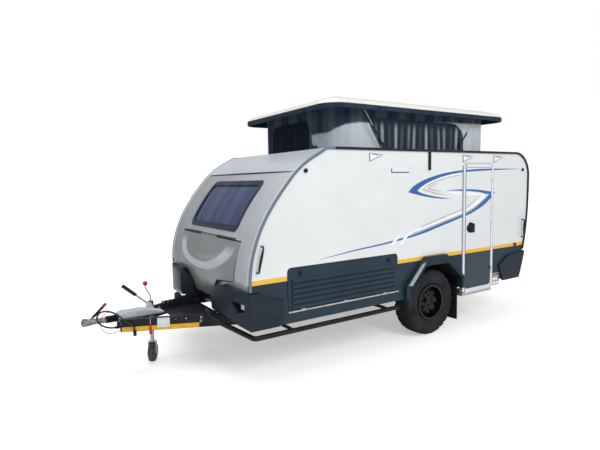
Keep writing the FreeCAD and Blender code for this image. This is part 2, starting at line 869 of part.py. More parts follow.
def build_window():
    ring = cut("window_ring", hull("window_outer", s.trim_over, -inner_half, inner_half),
               hull("window_inner", -s.wall, -inner_half - s.overrun, inner_half + s.overrun))
    gap = s.seam_gap / 5
    outer = window_region("window_outer_region", s.window_half - gap, window_low + gap,
                          window_high - gap, s.window_corner)
    inner = window_region("window_inner_region", s.window_half - s.window_band, window_low + s.window_band,
                          window_high - s.window_band, s.window_corner - s.window_band / 2)
    frame = cut("window_frame_form", common("window_frame_band", ring, outer), inner)
    node("front_window_frame", frame)
    pane = cut("pane_ring", hull("pane_outer", -s.edge_break, -inner_half, inner_half),
               hull("pane_inner", -s.edge_break - s.glass_thickness, -inner_half - s.overrun,
                    inner_half + s.overrun))
    region = window_region("pane_region", s.window_half - s.window_band, window_low + s.window_band,
                           window_high - s.window_band, s.window_corner - s.window_band / 2)
    node("front_window_glass", common("front_window_glass", pane, region))
    depth = s.edge_break + s.glass_thickness + s.blind_gap
    curtain = cut("blind_ring", hull("blind_outer", -depth, -inner_half, inner_half),
                  hull("blind_inner", -depth - s.blind_sheet, -inner_half - s.overrun, inner_half + s.overrun))
    inset = s.window_band + s.fit_gap
    region = window_region("blind_region", s.window_half - inset, window_low + inset, window_high - inset,
                           s.window_corner - s.window_band / 2)
    node("window_blind", common("window_blind", curtain, region))


def nose_frame(height):
    """A point on the nose's outer surface, with its upward tangent and outward normal."""
    curve = nose_curve(0)
    hit = curve.intersectCS(Part.Plane(FreeCAD.Vector(0, 0, float(height)), Z_AXIS))[0][0]
    point = FreeCAD.Vector(hit.X, hit.Y, hit.Z)
    along = curve.tangent(curve.parameter(point))[0]
    return point, along, FreeCAD.Vector(-along.z, 0, along.x)


def smooth(share):
    """Eases from 0 to 1 with level ends."""
    held = min(max(share, 0.0), 1.0)
    return held * held * (3 - 2 * held)


def lid_proud(across, height):
    """How far the lid stands proud of the nose curve: a crown that swells downward, less a shallow bowl."""
    top = float(lid_high)
    swell_height = float(s.lid_swell_height)
    lip = float(s.lid_lip)
    swell = float(s.lid_swell)
    if height > swell_height:
        crown = lip + (swell - lip) * smooth((top - height) / (top - swell_height))
    else:
        fade = smooth((swell_height - height) / (swell_height - float(s.lid_low)))
        crown = swell * (1 - (1 - LID_FOOT_SHARE) * fade)
    crown *= 1 - (across / float(s.lid_half)) ** 4
    fall = (float(s.bowl_top) - height) / (float(s.bowl_top) - float(s.bowl_low))
    if fall <= 0:
        return crown
    rim = math.hypot(across / float(s.bowl_half), fall)
    return crown - float(s.bowl_depth) * min(fall, 1.0) * smooth((1 - rim) / LEDGE_SHARE)


def lid_skin():
    """The lid's outer surface, as deep as the whole lid, swept through a net of points on its formula."""
    low = float(s.lid_low) - float(s.overrun)
    high = float(lid_high) + float(s.hinge_radius)
    net = []
    for row in range(LID_ROWS + 1):
        height = low + (high - low) * row / LID_ROWS
        point, along, out = nose_frame(height)
        line = []
        for column in range(-LID_COLUMNS, LID_COLUMNS + 1):
            across = float(s.lid_half) * column / LID_COLUMNS
            line.append(point + out * lid_proud(across, height) + Y_AXIS * across)
        net.append(line)
    surface = Part.BSplineSurface()
    surface.interpolate(net)
    return drawn("lid_skin", surface.toShape().extrude(X_AXIS * float(s.nose_depth / 2)))


def build_lid():
    """Front locker lid, crowned and bowled, on a long hinge in the slot along its top edge."""
    region = prism("lid_region", "YZ_Plane", lid_outline(s.seam_gap, s.lid_top_gap), -s.nose_reach - s.overrun * 2,
                   -seam_reach)
    inside = hull("lid_inside", -s.wall, -inner_half - s.overrun, inner_half + s.overrun)
    moving = [cut("lid_form", common("lid_block", lid_skin(), region), inside)]
    point, along, out = nose_frame(lid_high - s.seam_gap / 2)
    radius = float(s.hinge_radius)
    axis = point + out * (radius + float(s.fit_gap))
    thick = out * radius
    reach = along * float(s.hinge_leaf)
    seat = point + out * float(s.fit_gap)
    third = s.lid_hinge_half * 2 / 3
    fixed = []
    for parts, low, side in ((fixed, -s.lid_hinge_half, 1), (moving, s.fit_gap - third / 2, -1),
                             (fixed, third / 2, 1)):
        length = third if side > 0 else third - s.fit_gap * 2
        label = f"{len(fixed)}_{len(moving)}"
        parts.append(rod(f"lid_knuckle_{label}", (axis.x, low, axis.z), s.hinge_radius, length, X_AXIS, -90))
        foot = seat if side > 0 else point - out * float(s.edge_break)
        leaf = reach * side if side < 0 else reach / 2
        wire = Part.makePolygon([foot, foot + leaf, foot + leaf + thick, axis + thick, foot])
        wire.translate(Y_AXIS * float(low))
        parts.append(drawn(f"lid_leaf_{label}", Part.Face(wire).extrude(Y_AXIS * float(length))))
    node("front_locker_lid", fuse("front_locker_lid", *moving))
    node("lid_hinges", fuse("lid_hinges", *fixed))


def build_cheek():
    """Front corner moulding: plan, front and side views cut from one block, outside the hull, with its lamp."""
    outer = half_width + s.cheek_proud
    back = -s.nose_reach + s.chin_tuck
    plan = [
        (back, -s.cheek_inner), (-s.nose_reach, -s.cheek_inner),
        (-cheek_reach, -s.cheek_inner - s.cheek_round),
        (-cheek_reach + s.cheek_heel / 3, -s.lid_side_low_half, "arc"), (-s.nose_reach, -outer),
        (-cheek_side_end, -outer), (-cheek_side_end, -half_width), (back, -half_width),
    ]
    front = [
        (-s.cheek_inner, s.cheek_rail_clearance), (-s.cheek_inner, s.cheek_inner_height),
        (-s.cheek_crest, s.cheek_top, "arc"), (-outer, s.cheek_corner_height),
        (-outer, s.cheek_low), (-s.lid_side_low_half, s.cheek_low),
        (-s.drawbar_root_half, s.cheek_rail_clearance),
    ]
    side = [
        (-cheek_reach, s.cheek_low + s.cheek_round), (-cheek_reach, s.cheek_top), (back, s.cheek_top),
        (-cheek_side_end - s.cheek_side / 2, s.cheek_corner_height - s.overrun, "arc"),
        (-cheek_side_end, s.cheek_side_height), (-cheek_side_end, s.cheek_low + s.cheek_heel * 2),
        (-cheek_side_end - s.cheek_heel / 4, s.cheek_low + s.cheek_heel, "arc"),
        (-cheek_side_end - s.cheek_heel, s.cheek_low), (-s.nose_reach, s.cheek_low),
    ]
    reach = s.overrun
    shaped = common(
        "cheek_form",
        curved_prism("cheek_plan", "XY", plan, s.cheek_low, s.cheek_top),
        curved_prism("cheek_front", "YZ", front, -cheek_reach - reach, -cheek_side_end + reach),
        curved_prism("cheek_side", "XZ", side, -outer - reach, -s.cheek_inner + reach),
    )
    floor_at = -s.nose_reach - s.lamp_inset
    pocket = prism("lamp_pocket", "YZ_Plane", [
        (-s.lamp_side + s.lamp_length * 2, s.lamp_height + s.lamp_depth / 2),
        (-s.lamp_side - s.lamp_length, s.lamp_height + s.lamp_depth / 4),
        (-s.lamp_side - s.lamp_length, s.lamp_height - s.lamp_depth * 5 / 4),
        (-s.lamp_side + s.lamp_length, s.lamp_height - s.lamp_depth * 2),
    ], -cheek_reach - reach, floor_at)
    left = cut("cheek_left", shaped, hull("cheek_core", 0, -half_width, half_width), pocket)
    node("corner_mouldings_front", fuse("corner_mouldings_front", left, mirrored("cheek_right", left)))
    lamp = block("lamp_left", (floor_at - s.lamp_pocket, floor_at - s.fit_gap),
                 (-s.lamp_side - s.lamp_length / 2, -s.lamp_side + s.lamp_length / 2),
                 (s.lamp_height - s.lamp_depth, s.lamp_height))
    node("corner_lamps", fuse("corner_lamps", lamp, mirrored("lamp_right", lamp)))


def build_tail():
    """Rear corner moulding, proud of the side and wrapped round to the rear wall."""
    outer = half_width + s.tail_proud
    side = [
        (s.tail_front + s.overrun * 2, s.tail_low), (s.tail_front, s.tail_top - s.overrun * 4),
        (s.tail_front + s.overrun, s.tail_top - s.overrun * 3), (s.tail_front + s.overrun * 5, s.tail_top - s.overrun),
        (s.body_rear + s.overrun, s.tail_top), (s.body_rear + s.overrun, s.tail_low),
    ]
    region = prism("tail_region", "XZ_Plane", side, -outer, -s.tail_wrap)
    grown = hull("tail_hull", s.tail_proud, -outer, -s.tail_wrap)
    core = hull("tail_core", 0, -half_width, half_width)
    under = block("tail_underside", (s.tail_front - s.overrun, s.body_rear - s.rear_tuck - s.tail_proud),
                  (-half_width, half_width), (s.sill_height - s.overrun, s.sill_height))
    left = cut("tail_left", common("tail_form", region, grown), core, under)
    node("corner_mouldings_rear", fuse("corner_mouldings_rear", left, mirrored("tail_right", left)))


def build_door():
    face = -half_width - s.door_proud
    outer = prism("door_frame_outer", "XZ_Plane",
                  rectangle((s.door_front, s.door_rear), (s.door_bottom, door_top)), face, -inner_half)
    round_along(outer, Y_AXIS, s.door_corner)
    band = s.door_band
    clear = rectangle((s.door_front + band, s.door_rear - band), (s.door_bottom + band, door_top - band))
    hole = prism("door_frame_hole", "XZ_Plane", clear, face - s.overrun, -inner_half + s.overrun)
    round_along(hole, Y_AXIS, s.door_corner - s.seam_gap)
    line = s.door_rear - band - s.seam_gap / 2
    axis_y = face - s.hinge_radius
    knuckles = []
    for share in DOOR_HINGE_SHARES:
        low = s.door_bottom + (door_top - s.door_bottom) * share
        knuckles.append(rod(f"frame_knuckle_{len(knuckles)}", (line, axis_y, low), s.hinge_radius, s.hinge_length))
        knuckles.append(block(f"frame_leaf_{len(knuckles)}", (line, line + s.hinge_leaf),
                              (axis_y, face), (low, low + s.hinge_length)))
    node("door_frame", fuse("door_frame", cut("door_frame_ring", outer, hole), *knuckles))
    inset = band + s.seam_gap
    leaf = rectangle((s.door_front + inset, s.door_rear - inset), (s.door_bottom + inset, door_top - inset))
    door = prism("door_leaf", "XZ_Plane", leaf, face, face + s.door_thickness)
    parts = [round_along(door, Y_AXIS, s.door_corner - s.seam_gap * 2)]
    for share in DOOR_HINGE_SHARES:
        low = s.door_bottom + (door_top - s.door_bottom) * share + s.hinge_length + s.fit_gap
        parts.append(rod(f"door_knuckle_{len(parts)}", (line, axis_y, low), s.hinge_radius, s.hinge_length))
        parts.append(block(f"door_strap_{len(parts)}", (line - s.hinge_leaf, line), (axis_y, face),
                           (low, low + s.hinge_length)))
    node("entry_door", fuse("entry_door", *parts))


def build_hatch():
    """Locker flap: a tray-like leaf whose face carries sloped louvres."""
    gap = s.seam_gap
    face = -half_width - s.hatch_proud
    leaf = rectangle((-hatch_front + gap, -hatch_rear - gap), (s.hatch_low + gap, s.hatch_high - gap))
    plate = prism("hatch_leaf", "XZ_Plane", leaf, -half_width - s.seam_gap, -inner_half)
    round_along(plate, Y_AXIS, s.hatch_corner - gap)
    pitch = (s.hatch_high - s.hatch_low - gap * 2 - s.catch_zone) / LOUVRE_COUNT
    parts = [plate]
    share = LOUVRE_SHARES
    for number in range(LOUVRE_COUNT):
        low = s.hatch_low + gap + pitch * (number + share["start"])
        section = [(face, low), (-half_width, low + pitch * share["lip"]), (-half_width, low + pitch * share["back"]),
                   (face, low + pitch * share["top"])]
        parts.append(prism(f"louvre_{number + 1}", "YZ_Plane", section,
                           -hatch_front + s.hatch_corner, -hatch_rear - s.hatch_corner))
    top = s.hatch_low - gap
    rails = [block("sill_rail", (-hatch_front, -hatch_rear), (-half_width - s.sill_rail_proud, -half_width),
                   (top - s.sill_rail_height, top))]
    axis_y = -half_width - s.sill_rail_proud + s.hinge_radius
    axis_z = top + s.hinge_radius + s.fit_gap
    for share in HATCH_HINGE_SHARES:
        start = -hatch_front + (hatch_front - hatch_rear) * share
        number = len(rails)
        rails.append(rod(f"rail_knuckle_{number}", (start, axis_y, axis_z), s.hinge_radius, s.hinge_length, Y_AXIS, 90))
        rails.append(block(f"rail_leaf_{number}", (start, start + s.hinge_length),
                           (axis_y - s.hinge_radius, axis_y), (top, axis_z)))
        moving = start + s.hinge_length + s.fit_gap
        parts.append(rod(f"hatch_knuckle_{number}", (moving, axis_y, axis_z), s.hinge_radius, s.hinge_length,
                         Y_AXIS, 90))
        parts.append(block(f"hatch_strap_{number}", (moving, moving + s.hinge_length),
                           (axis_y - s.hinge_radius, -half_width), (axis_z, axis_z + s.hinge_leaf)))
    node("locker_hatch", fuse("locker_hatch", *parts))
    seat = -half_width - gap - s.fit_gap
    level = s.hatch_high - s.catch_zone * 2 / 3
    catches = [rod(f"hatch_catch_{number}", (x, seat, level), s.catch_radius, s.hatch_proud, X_AXIS, 90)
               for number, x in enumerate((-hatch_front + s.catch_inset, -hatch_rear - s.catch_inset))]
    node("hatch_catches", fuse("hatch_catches", *catches))
    node("hatch_rail", fuse("hatch_rail", *rails))


def build_poptop():
    outline = rectangle((-s.poptop_front, s.poptop_rear), (-s.poptop_half, s.poptop_half))
    shell = prism("poptop_shell", "XY_Plane", outline, rim_low, crown_height)
    round_along(shell, Z_AXIS, s.poptop_corner)
    document.recompute()
    tip = shell.Tip
    top = float(crown_height)
    near = float(s.fit_gap)
    rim = [f"Edge{number}" for number, edge in enumerate(tip.Shape.Edges, start=1)
           if all(abs(vertex.Z - top) < near for vertex in edge.Vertexes)]
    crown = shell.newObject("PartDesign::Chamfer", "poptop_crown")
    crown.Base = (tip, rim)
    crown.ChamferType = "Two distances"
    bind(crown, "Size", s.crown_rise)
    bind(crown, "Size2", s.crown_inset)
    document.recompute()
    level = float(rim_high)
    brow = [f"Edge{number}" for number, edge in enumerate(crown.Shape.Edges, start=1)
            if all(abs(vertex.Z - level) < near for vertex in edge.Vertexes)]
    soft = shell.newObject("PartDesign::Chamfer", "poptop_brow")
    soft.Base = (crown, brow)
    bind(soft, "Size", s.rim_depth / 3)
    skin = s.poptop_skin
    inside = rectangle((-s.poptop_front + skin, s.poptop_rear - skin), (-s.poptop_half + skin, s.poptop_half - skin))
    hollow = prism("poptop_hollow", "XY_Plane", inside, rim_low - s.overrun, rim_high - skin / 2)
    round_along(hollow, Z_AXIS, s.poptop_corner - skin)
    node("poptop_roof", fuse("poptop_roof", cut("poptop_tray", shell, hollow), *strut_pads()))
    grow = s.seal_proud
    around = rectangle((-s.poptop_front - grow, s.poptop_rear + grow), (-s.poptop_half - grow, s.poptop_half + grow))
    band = prism("seal_band", "XY_Plane", around, rim_low - s.seal_drop, rim_low + s.seal_height)
    round_along(band, Z_AXIS, s.poptop_corner + grow)
    gap = s.fit_gap
    core = rectangle((-s.poptop_front - gap, s.poptop_rear + gap), (-s.poptop_half - gap, s.poptop_half + gap))
    middle = prism("seal_core", "XY_Plane", core, rim_low - gap, rim_low + s.seal_height + s.overrun)
    round_along(middle, Z_AXIS, s.poptop_corner + gap)
    thin = skin - gap
    under = rectangle((-s.poptop_front + thin, s.poptop_rear - thin), (-s.poptop_half + thin, s.poptop_half - thin))
    lower = prism("seal_opening", "XY_Plane", under, rim_low - s.overrun, rim_low + s.overrun)
    round_along(lower, Z_AXIS, s.poptop_corner - thin)
    node("poptop_seal", cut("poptop_seal", band, middle, lower))


def build_canvas():
    base = s.roof_height + s.canvas_gap
    top = rim_high - s.poptop_skin / 2 - s.canvas_gap
    walls = []
    for label, inset, reach in (("outer", s.fit_gap, 0), ("inner", s.canvas_wall, s.edge_break)):
        plan = rectangle((-s.canvas_front + inset, s.canvas_rear - inset), (-s.canvas_half + inset, s.canvas_half - inset))
        wall = prism(f"canvas_{label}", "XY_Plane", plan, base - reach, top + reach)
        walls.append(round_along(wall, Z_AXIS, s.canvas_corner - inset))
    node("canvas_walls", cut("canvas_walls", *walls))


def strut_sizes(end):
    """Foot place, run, length, lean and rod length of one end's struts; the rod just clears the foot when shut."""
    foot, run, side = (-s.strut_front, s.strut_front_run, -1) if end == "front" else (s.strut_rear, s.strut_rear_run, 1)
    length = root(run * run + strut_rise * strut_rise)
    shut_rise = strut_rise - s.poptop_travel
    shut = root(run * run + shut_rise * shut_rise)
    lean = side * math.degrees(math.atan2(float(run), float(strut_rise)))
    return foot, side * run, length, lean, shut - s.strut_eye - s.edge_break


def strut_eye(name, height):
    return rod(name, (0, -s.strut_eye_half, height), s.strut_eye, s.strut_eye_half * 2, X_AXIS, -90)


def build_struts():
    outer = s.strut_half + s.strut_eye_half + s.fit_gap
    feet = []
    for end in STRUT_ENDS:
        foot, run, length, lean, rod_length = strut_sizes(end)
        plate = block(f"strut_foot_{end}", (foot - s.strut_eye, foot + s.strut_eye), (-outer - s.strut_plate, -outer),
                      (s.roof_height, strut_pivot + s.strut_eye))
        feet += [plate, mirrored(f"strut_foot_{end}_right", plate)]
        for side, label in ((-1, "left"), (1, "right")):
            name = f"strut_{end}_{label}"
            place_in = (axle_x + foot, side * s.strut_half, strut_pivot, Y_AXIS, lean)
            barrel = rod(name + "_barrel", (0, 0, 0), s.strut_radius, s.strut_barrel_length)
            bore = rod(name + "_bore", (0, 0, s.strut_eye), s.strut_rod_radius + s.fit_gap, length)
            node(name, cut(name, fuse(name + "_body", barrel, strut_eye(name + "_foot", 0)), bore), *place_in)
            piston = rod(name + "_piston", (0, 0, length - rod_length), s.strut_rod_radius, rod_length)
            rod_name = f"strut_rod_{end}_{label}"
            node(rod_name, fuse(rod_name, piston, strut_eye(name + "_head", length)), *place_in)
    node("strut_feet", fuse("strut_feet", *feet))


def strut_pads():
    """Pads inside the lifting roof's rim, level with the struts' heads."""
    outer = s.strut_half + s.strut_eye_half + s.fit_gap
    level = strut_pivot + strut_rise
    pads = []
    for end in STRUT_ENDS:
        foot, run, length, lean, rod_length = strut_sizes(end)
        head = foot + run
        pad = block(f"strut_pad_{end}", (head - s.strut_eye, head + s.strut_eye),
                    (-s.poptop_half + s.poptop_skin / 2, -outer), (level - s.strut_eye, level + s.strut_eye))
        pads += [pad, mirrored(f"strut_pad_{end}_right", pad)]
    return pads


def build_tyre(label, side):
    half = s.tyre_width / 2
    bulge = s.bead_radius + s.bulge_height
    profile = [
        (-half + s.shoulder_inset, s.bead_radius), (-half, bulge),
        (-half + s.shoulder_inset / 2, s.tyre_radius - s.shoulder_drop * 2),
        (-half + s.shoulder_inset, s.tyre_radius - s.shoulder_drop / 2),
        (-half + s.shoulder_inset * 2, s.tyre_radius), (half - s.shoulder_inset * 2, s.tyre_radius),
        (half - s.shoulder_inset, s.tyre_radius - s.shoulder_drop / 2),
        (half - s.shoulder_inset / 2, s.tyre_radius - s.shoulder_drop * 2),
        (half, bulge), (half - s.shoulder_inset, s.bead_radius),
    ]
    node(f"tyre_{label}", lathe(f"tyre_{label}", profile), axle_x,
         side * (s.wheel_outer_plane - half), s.tyre_radius)


def build_rim(label, side):
    """Steel rim: a barrel with flanges and a dished disc with eight windows, nuts and a cap."""
    half = s.tyre_width / 2 - s.shoulder_inset
    flange = s.flange_radius
    seat = s.bead_radius - s.rim_thickness
    lip = s.rim_thickness
    face = -half - s.flange_height + s.disc_recess
    barrel = lathe(f"rim_barrel_{label}", [
        (-half - s.flange_height, flange), (-half - s.flange_height, seat),
        (half + s.flange_height, seat), (half + s.flange_height, flange),
        (half + s.flange_height - lip, flange), (half + lip / 2, s.bead_radius),
        (-half - lip / 2, s.bead_radius), (-half - s.flange_height + lip, flange),
    ])
    disc = lathe(f"rim_disc_{label}", [
        (face, 0), (face, s.hub_radius + s.nut_radius * 3), (face - s.disc_thickness * 2, seat * DISC_SHARE),
        (face, seat + s.edge_break), (face + s.disc_thickness, seat + s.edge_break),
        (face - s.disc_thickness, seat * DISC_SHARE), (face + s.disc_thickness, s.hub_radius + s.nut_radius * 2),
        (face + s.disc_thickness, 0),
    ])
    cap = rod(f"hub_cap_{label}", (0, face - s.hub_cap_height, 0), s.hub_cap_radius,
              s.hub_cap_height + s.edge_break, X_AXIS, -90)
    nuts = []
    for number in range(NUT_COUNT):
        angle = math.radians(360 / NUT_COUNT * number)
        nut = document.addObject("Part::Prism", f"wheel_nut_{label}_{number + 1}")
        nut.Polygon = NUT_SIDES
        bind(nut, "Circumradius", s.nut_radius)
        bind(nut, "Height", s.nut_height + s.edge_break)
        nuts.append(place(nut, s.bolt_circle_radius * math.cos(angle), face - s.nut_height,
                          s.bolt_circle_radius * math.sin(angle), X_AXIS, -90))
    windows = []
    for number in range(RIM_WINDOW_COUNT):
        angle = math.radians(360 / RIM_WINDOW_COUNT * (number + 1 / 2))
        windows.append(rod(f"rim_window_{label}_{number + 1}",
                           (seat * WINDOW_CIRCLE_SHARE * math.cos(angle), face - s.overrun * 2, seat * WINDOW_CIRCLE_SHARE * math.sin(angle)),
                           s.nut_radius * 2, s.overrun * 4, X_AXIS, -90))
    pierced = cut(f"rim_pierced_{label}", disc, *windows)
    hub = rod(f"brake_drum_{label}", (0, face + s.disc_thickness - s.edge_break, 0), s.drum_radius,
              s.drum_depth + s.edge_break, X_AXIS, -90)
    rim = fuse(f"rim_{label}", barrel, pierced, cap, hub, *nuts)
    if side > 0:
        rim = mirrored(f"rim_mirrored_{label}", rim)
    node(f"rim_{label}", rim, axle_x, side * (s.wheel_outer_plane - s.tyre_width / 2), s.tyre_radius)


def build_running_gear():
    seat = s.wheel_outer_plane - s.shoulder_inset + s.flange_height - s.disc_recess - s.disc_thickness
    for side, label in ((-1, "left"), (1, "right")):
        build_tyre(label, side)
        build_rim(label, side)
    inner = seat - s.drum_depth - s.running_gap
    arm_outer = s.wheel_outer_plane - s.tyre_width - s.arm_clearance
    beam_half = arm_outer - s.arm_thickness
    beam = block("axle_tube", (-s.arm_length - s.axle_tube / 2, -s.arm_length + s.axle_tube / 2),
                 (-beam_half, beam_half), (s.tyre_radius - s.axle_tube / 2, s.tyre_radius + s.axle_tube / 2))
    parts = [beam]
    rail_bottom = s.floor_bottom - s.rail_depth
    for side, label in ((-1, "left"), (1, "right")):
        near, far = sorted((side * beam_half, side * arm_outer), key=float)
        low = s.tyre_radius - s.arm_depth / 2
        parts.append(block(f"trailing_arm_{label}", (-s.arm_length - s.axle_tube / 2, s.arm_depth / 2),
                           (near, far), (low, low + s.arm_depth)))
        plate, back = sorted((side * inner, side * (inner - s.rim_thickness)), key=float)
        parts.append(rod(f"backing_plate_{label}", (0, plate, s.tyre_radius), s.drum_radius,
                         back - plate, X_AXIS, -90))
        root, tip = sorted((side * beam_half, side * (seat - s.drum_depth - s.fit_gap)), key=float)
        parts.append(rod(f"stub_axle_{label}", (0, root, s.tyre_radius), s.stub_radius, tip - root, X_AXIS, -90))
        gauge = side * s.rail_half_gauge
        parts.append(block(f"axle_seat_{label}", (-s.arm_length - s.axle_tube, -s.arm_length + s.axle_tube),
                           (gauge - s.rail_width / 2, gauge + s.rail_width / 2),
                           (s.tyre_radius, rail_bottom)))
    node("axle_beam", fuse("axle_beam", *parts))


def build_chassis():
    rail_bottom = s.floor_bottom - s.rail_depth
    parts = []
    for side, label in ((-1, "left"), (1, "right")):
        gauge = side * s.rail_half_gauge
        parts.append(block(f"chassis_rail_{label}", (-chassis_front, chassis_rear),
                           (gauge - s.rail_width / 2, gauge + s.rail_width / 2), (rail_bottom, s.floor_bottom)))
    for number, place_share in enumerate(CROSS_SHARES, start=1):
        centre = (chassis_rear + chassis_front) * place_share - chassis_front
        parts.append(block(f"cross_member_{number}", (centre, centre + s.cross_member),
                           (-inner_half + s.overrun, inner_half - s.overrun) if number in OUTRIGGERS
                           else (-s.rail_half_gauge, s.rail_half_gauge),
                           (s.floor_bottom - s.cross_member, s.floor_bottom)))
    node("chassis", fuse("chassis", *parts))


def drawbar_half(reach):
    """Half width over the A-frame's rails at a distance ahead of the axle."""
    share = (drawbar_tip - reach) / (drawbar_tip - chassis_front)
    return s.drawbar_tip_half + (s.drawbar_root_half - s.drawbar_tip_half) * share


def drawbar_rail(name, side, low, high):
    """One rail of the A-frame, in plan a slanted strip."""
    plan = [
        (-drawbar_tip, side * s.drawbar_tip_half), (-chassis_front, side * s.drawbar_root_half),
        (-chassis_front, side * (s.drawbar_root_half - s.drawbar_wall)),
        (-drawbar_tip, side * (s.drawbar_tip_half - s.drawbar_wall)),
    ]
    return prism(name, "XY_Plane", plan, low, high)


def build_drawbar():
    """A-frame with holes through its rails, a bridge under the housing, bearers for the tray and the lead's holder."""
    low = s.drawbar_bottom
    high = drawbar_high
    rails = [drawbar_rail(f"drawbar_rail_{label}", side, low, high)
             for side, label in ((-1, "left"), (1, "right"))]
    holes = []
    for number in range(2):
        ahead = jockey_reach - s.rail_hole_setback - s.rail_hole_pitch * number
        reach = drawbar_half(ahead) + s.overrun
        holes.append(rod(f"rail_hole_{number + 1}", (-ahead, -reach, high - s.overrun + s.bearer_height / 2),
                         s.rail_hole_radius, reach * 2, X_AXIS, -90))
    bars = [block("drawbar_bridge", (-bellows_rear + s.overrun * 2, -overrun_rear),
                  (-s.drawbar_tip_half, s.drawbar_tip_half), (high - s.rim_thickness, high))]
    for label, ahead in (("front", tray_front - s.bearer_width), ("rear", tray_rear + s.bearer_width)):
        reach = drawbar_half(ahead) - s.drawbar_wall / 2
        bars.append(block(f"tray_bearer_{label}", (-ahead - s.bearer_width / 2, -ahead + s.bearer_width / 2),
                          (-reach, reach), (s.tray_height - s.bearer_height, s.tray_height)))
    gland = rod("lead_gland", lead_start(s.gland_length), s.gland_radius, s.gland_length + s.edge_break, Y_AXIS, 90)
    holder = rod("lead_holder", lead_end(-s.holder_length), s.holder_radius, s.holder_length)
    frame = cut("drawbar_frame", fuse("drawbar_rails", *rails), *holes)
    node("drawbar", fuse("drawbar", frame, *bars, gland, holder))


def build_coupling():
    """Ball coupling on its ribbed bellows, the over-run housing and the hand brake lever beside it."""
    high = drawbar_high
    centre = s.coupling_height
    profile = [(0, 0), (0, s.coupling_radius)]
    for inward, width in reversed(NECK_SHARES):
        profile.append((s.coupling_neck - s.ball_radius * inward, s.ball_radius * width))
    head = place(lathe("coupling_body", profile), -coupling_rear, 0, centre, Z_AXIS, 90)
    rim = centre - s.socket_rim_drop
    below = centre - s.ball_radius - s.overrun
    socket = rod("coupling_socket", (-s.hitch_reach + s.ball_radius, 0, below),
                 s.socket_radius, centre + s.edge_break - below)
    flat = prism("coupling_flat", "XZ_Plane", [
        (-s.hitch_reach - s.overrun, below), (-coupling_rear + s.overrun, below),
        (-coupling_rear + s.overrun, rim), (-s.hitch_reach - s.overrun, rim),
    ], -s.ball_radius - s.overrun, s.ball_radius + s.overrun)
    handle = rod("coupling_handle", (-s.hitch_reach + s.handle_setback, 0, centre), s.handle_radius,
                 s.handle_length, Y_AXIS, HANDLE_LEAN)
    node("coupling_head", cut("coupling_head", fuse("coupling_form", head, handle), socket, flat))
    pitch = s.bellows_length / BELLOWS_COUNT
    groove = s.bellows_radius - s.bellows_groove
    folds = [(0, 0), (0, groove)]
    for number in range(BELLOWS_COUNT):
        folds.append((pitch * number + pitch / 2, s.bellows_radius))
        folds.append((pitch * (number + 1), groove))
    folds.append((s.bellows_length, 0))
    node("coupling_bellows", lathe("coupling_bellows", folds), axle_x - bellows_rear, 0, centre, Z_AXIS, 90)
    front, end = COVER_SHARES
    cover = [
        (-bellows_rear, high), (-bellows_rear, high + s.overrun_rise * front),
        (-bellows_rear + s.overrun, high + s.overrun_rise),
        (-overrun_rear - s.overrun_slope, high + s.overrun_rise),
        (-overrun_rear, high + s.overrun_rise * end), (-overrun_rear, high),
    ]
    body = prism("overrun_cover", "XZ_Plane", cover, -s.overrun_half, s.overrun_half)
    sleeve = rod("overrun_sleeve", (-bellows_rear, 0, centre), s.bellows_radius, s.overrun * 2, Y_AXIS, 90)
    top = s.brake_pivot_height + s.brake_boss_radius
    bracket = prism("brake_bracket", "XZ_Plane", [
        (-brake_pivot_reach - s.brake_plate_length / 2, high), (-brake_pivot_reach - s.brake_boss_radius, top),
        (-brake_pivot_reach + s.brake_boss_radius, top), (-brake_pivot_reach + s.brake_plate_length / 2, high),
    ], s.overrun_half, s.overrun_half + s.brake_plate)
    node("overrun_housing", fuse("overrun_housing", body, sleeve, bracket))
    grip_start = s.brake_lever_length - s.brake_grip_length
    lever = rod("brake_lever", (0, 0, 0), s.brake_lever_radius, s.brake_lever_length)
    grip = rod("brake_grip", (0, 0, grip_start), s.brake_grip_radius, s.brake_grip_length)
    boss = rod("brake_boss", (0, -s.brake_grip_radius, 0), s.brake_boss_radius, s.brake_grip_radius * 2,
               X_AXIS, -90)
    node("hand_brake_lever", fuse("hand_brake_lever", lever, grip, boss), axle_x - brake_pivot_reach,
         s.overrun_half + s.brake_plate + s.brake_grip_radius + s.fit_gap, s.brake_pivot_height, Y_AXIS, BRAKE_LEAN)


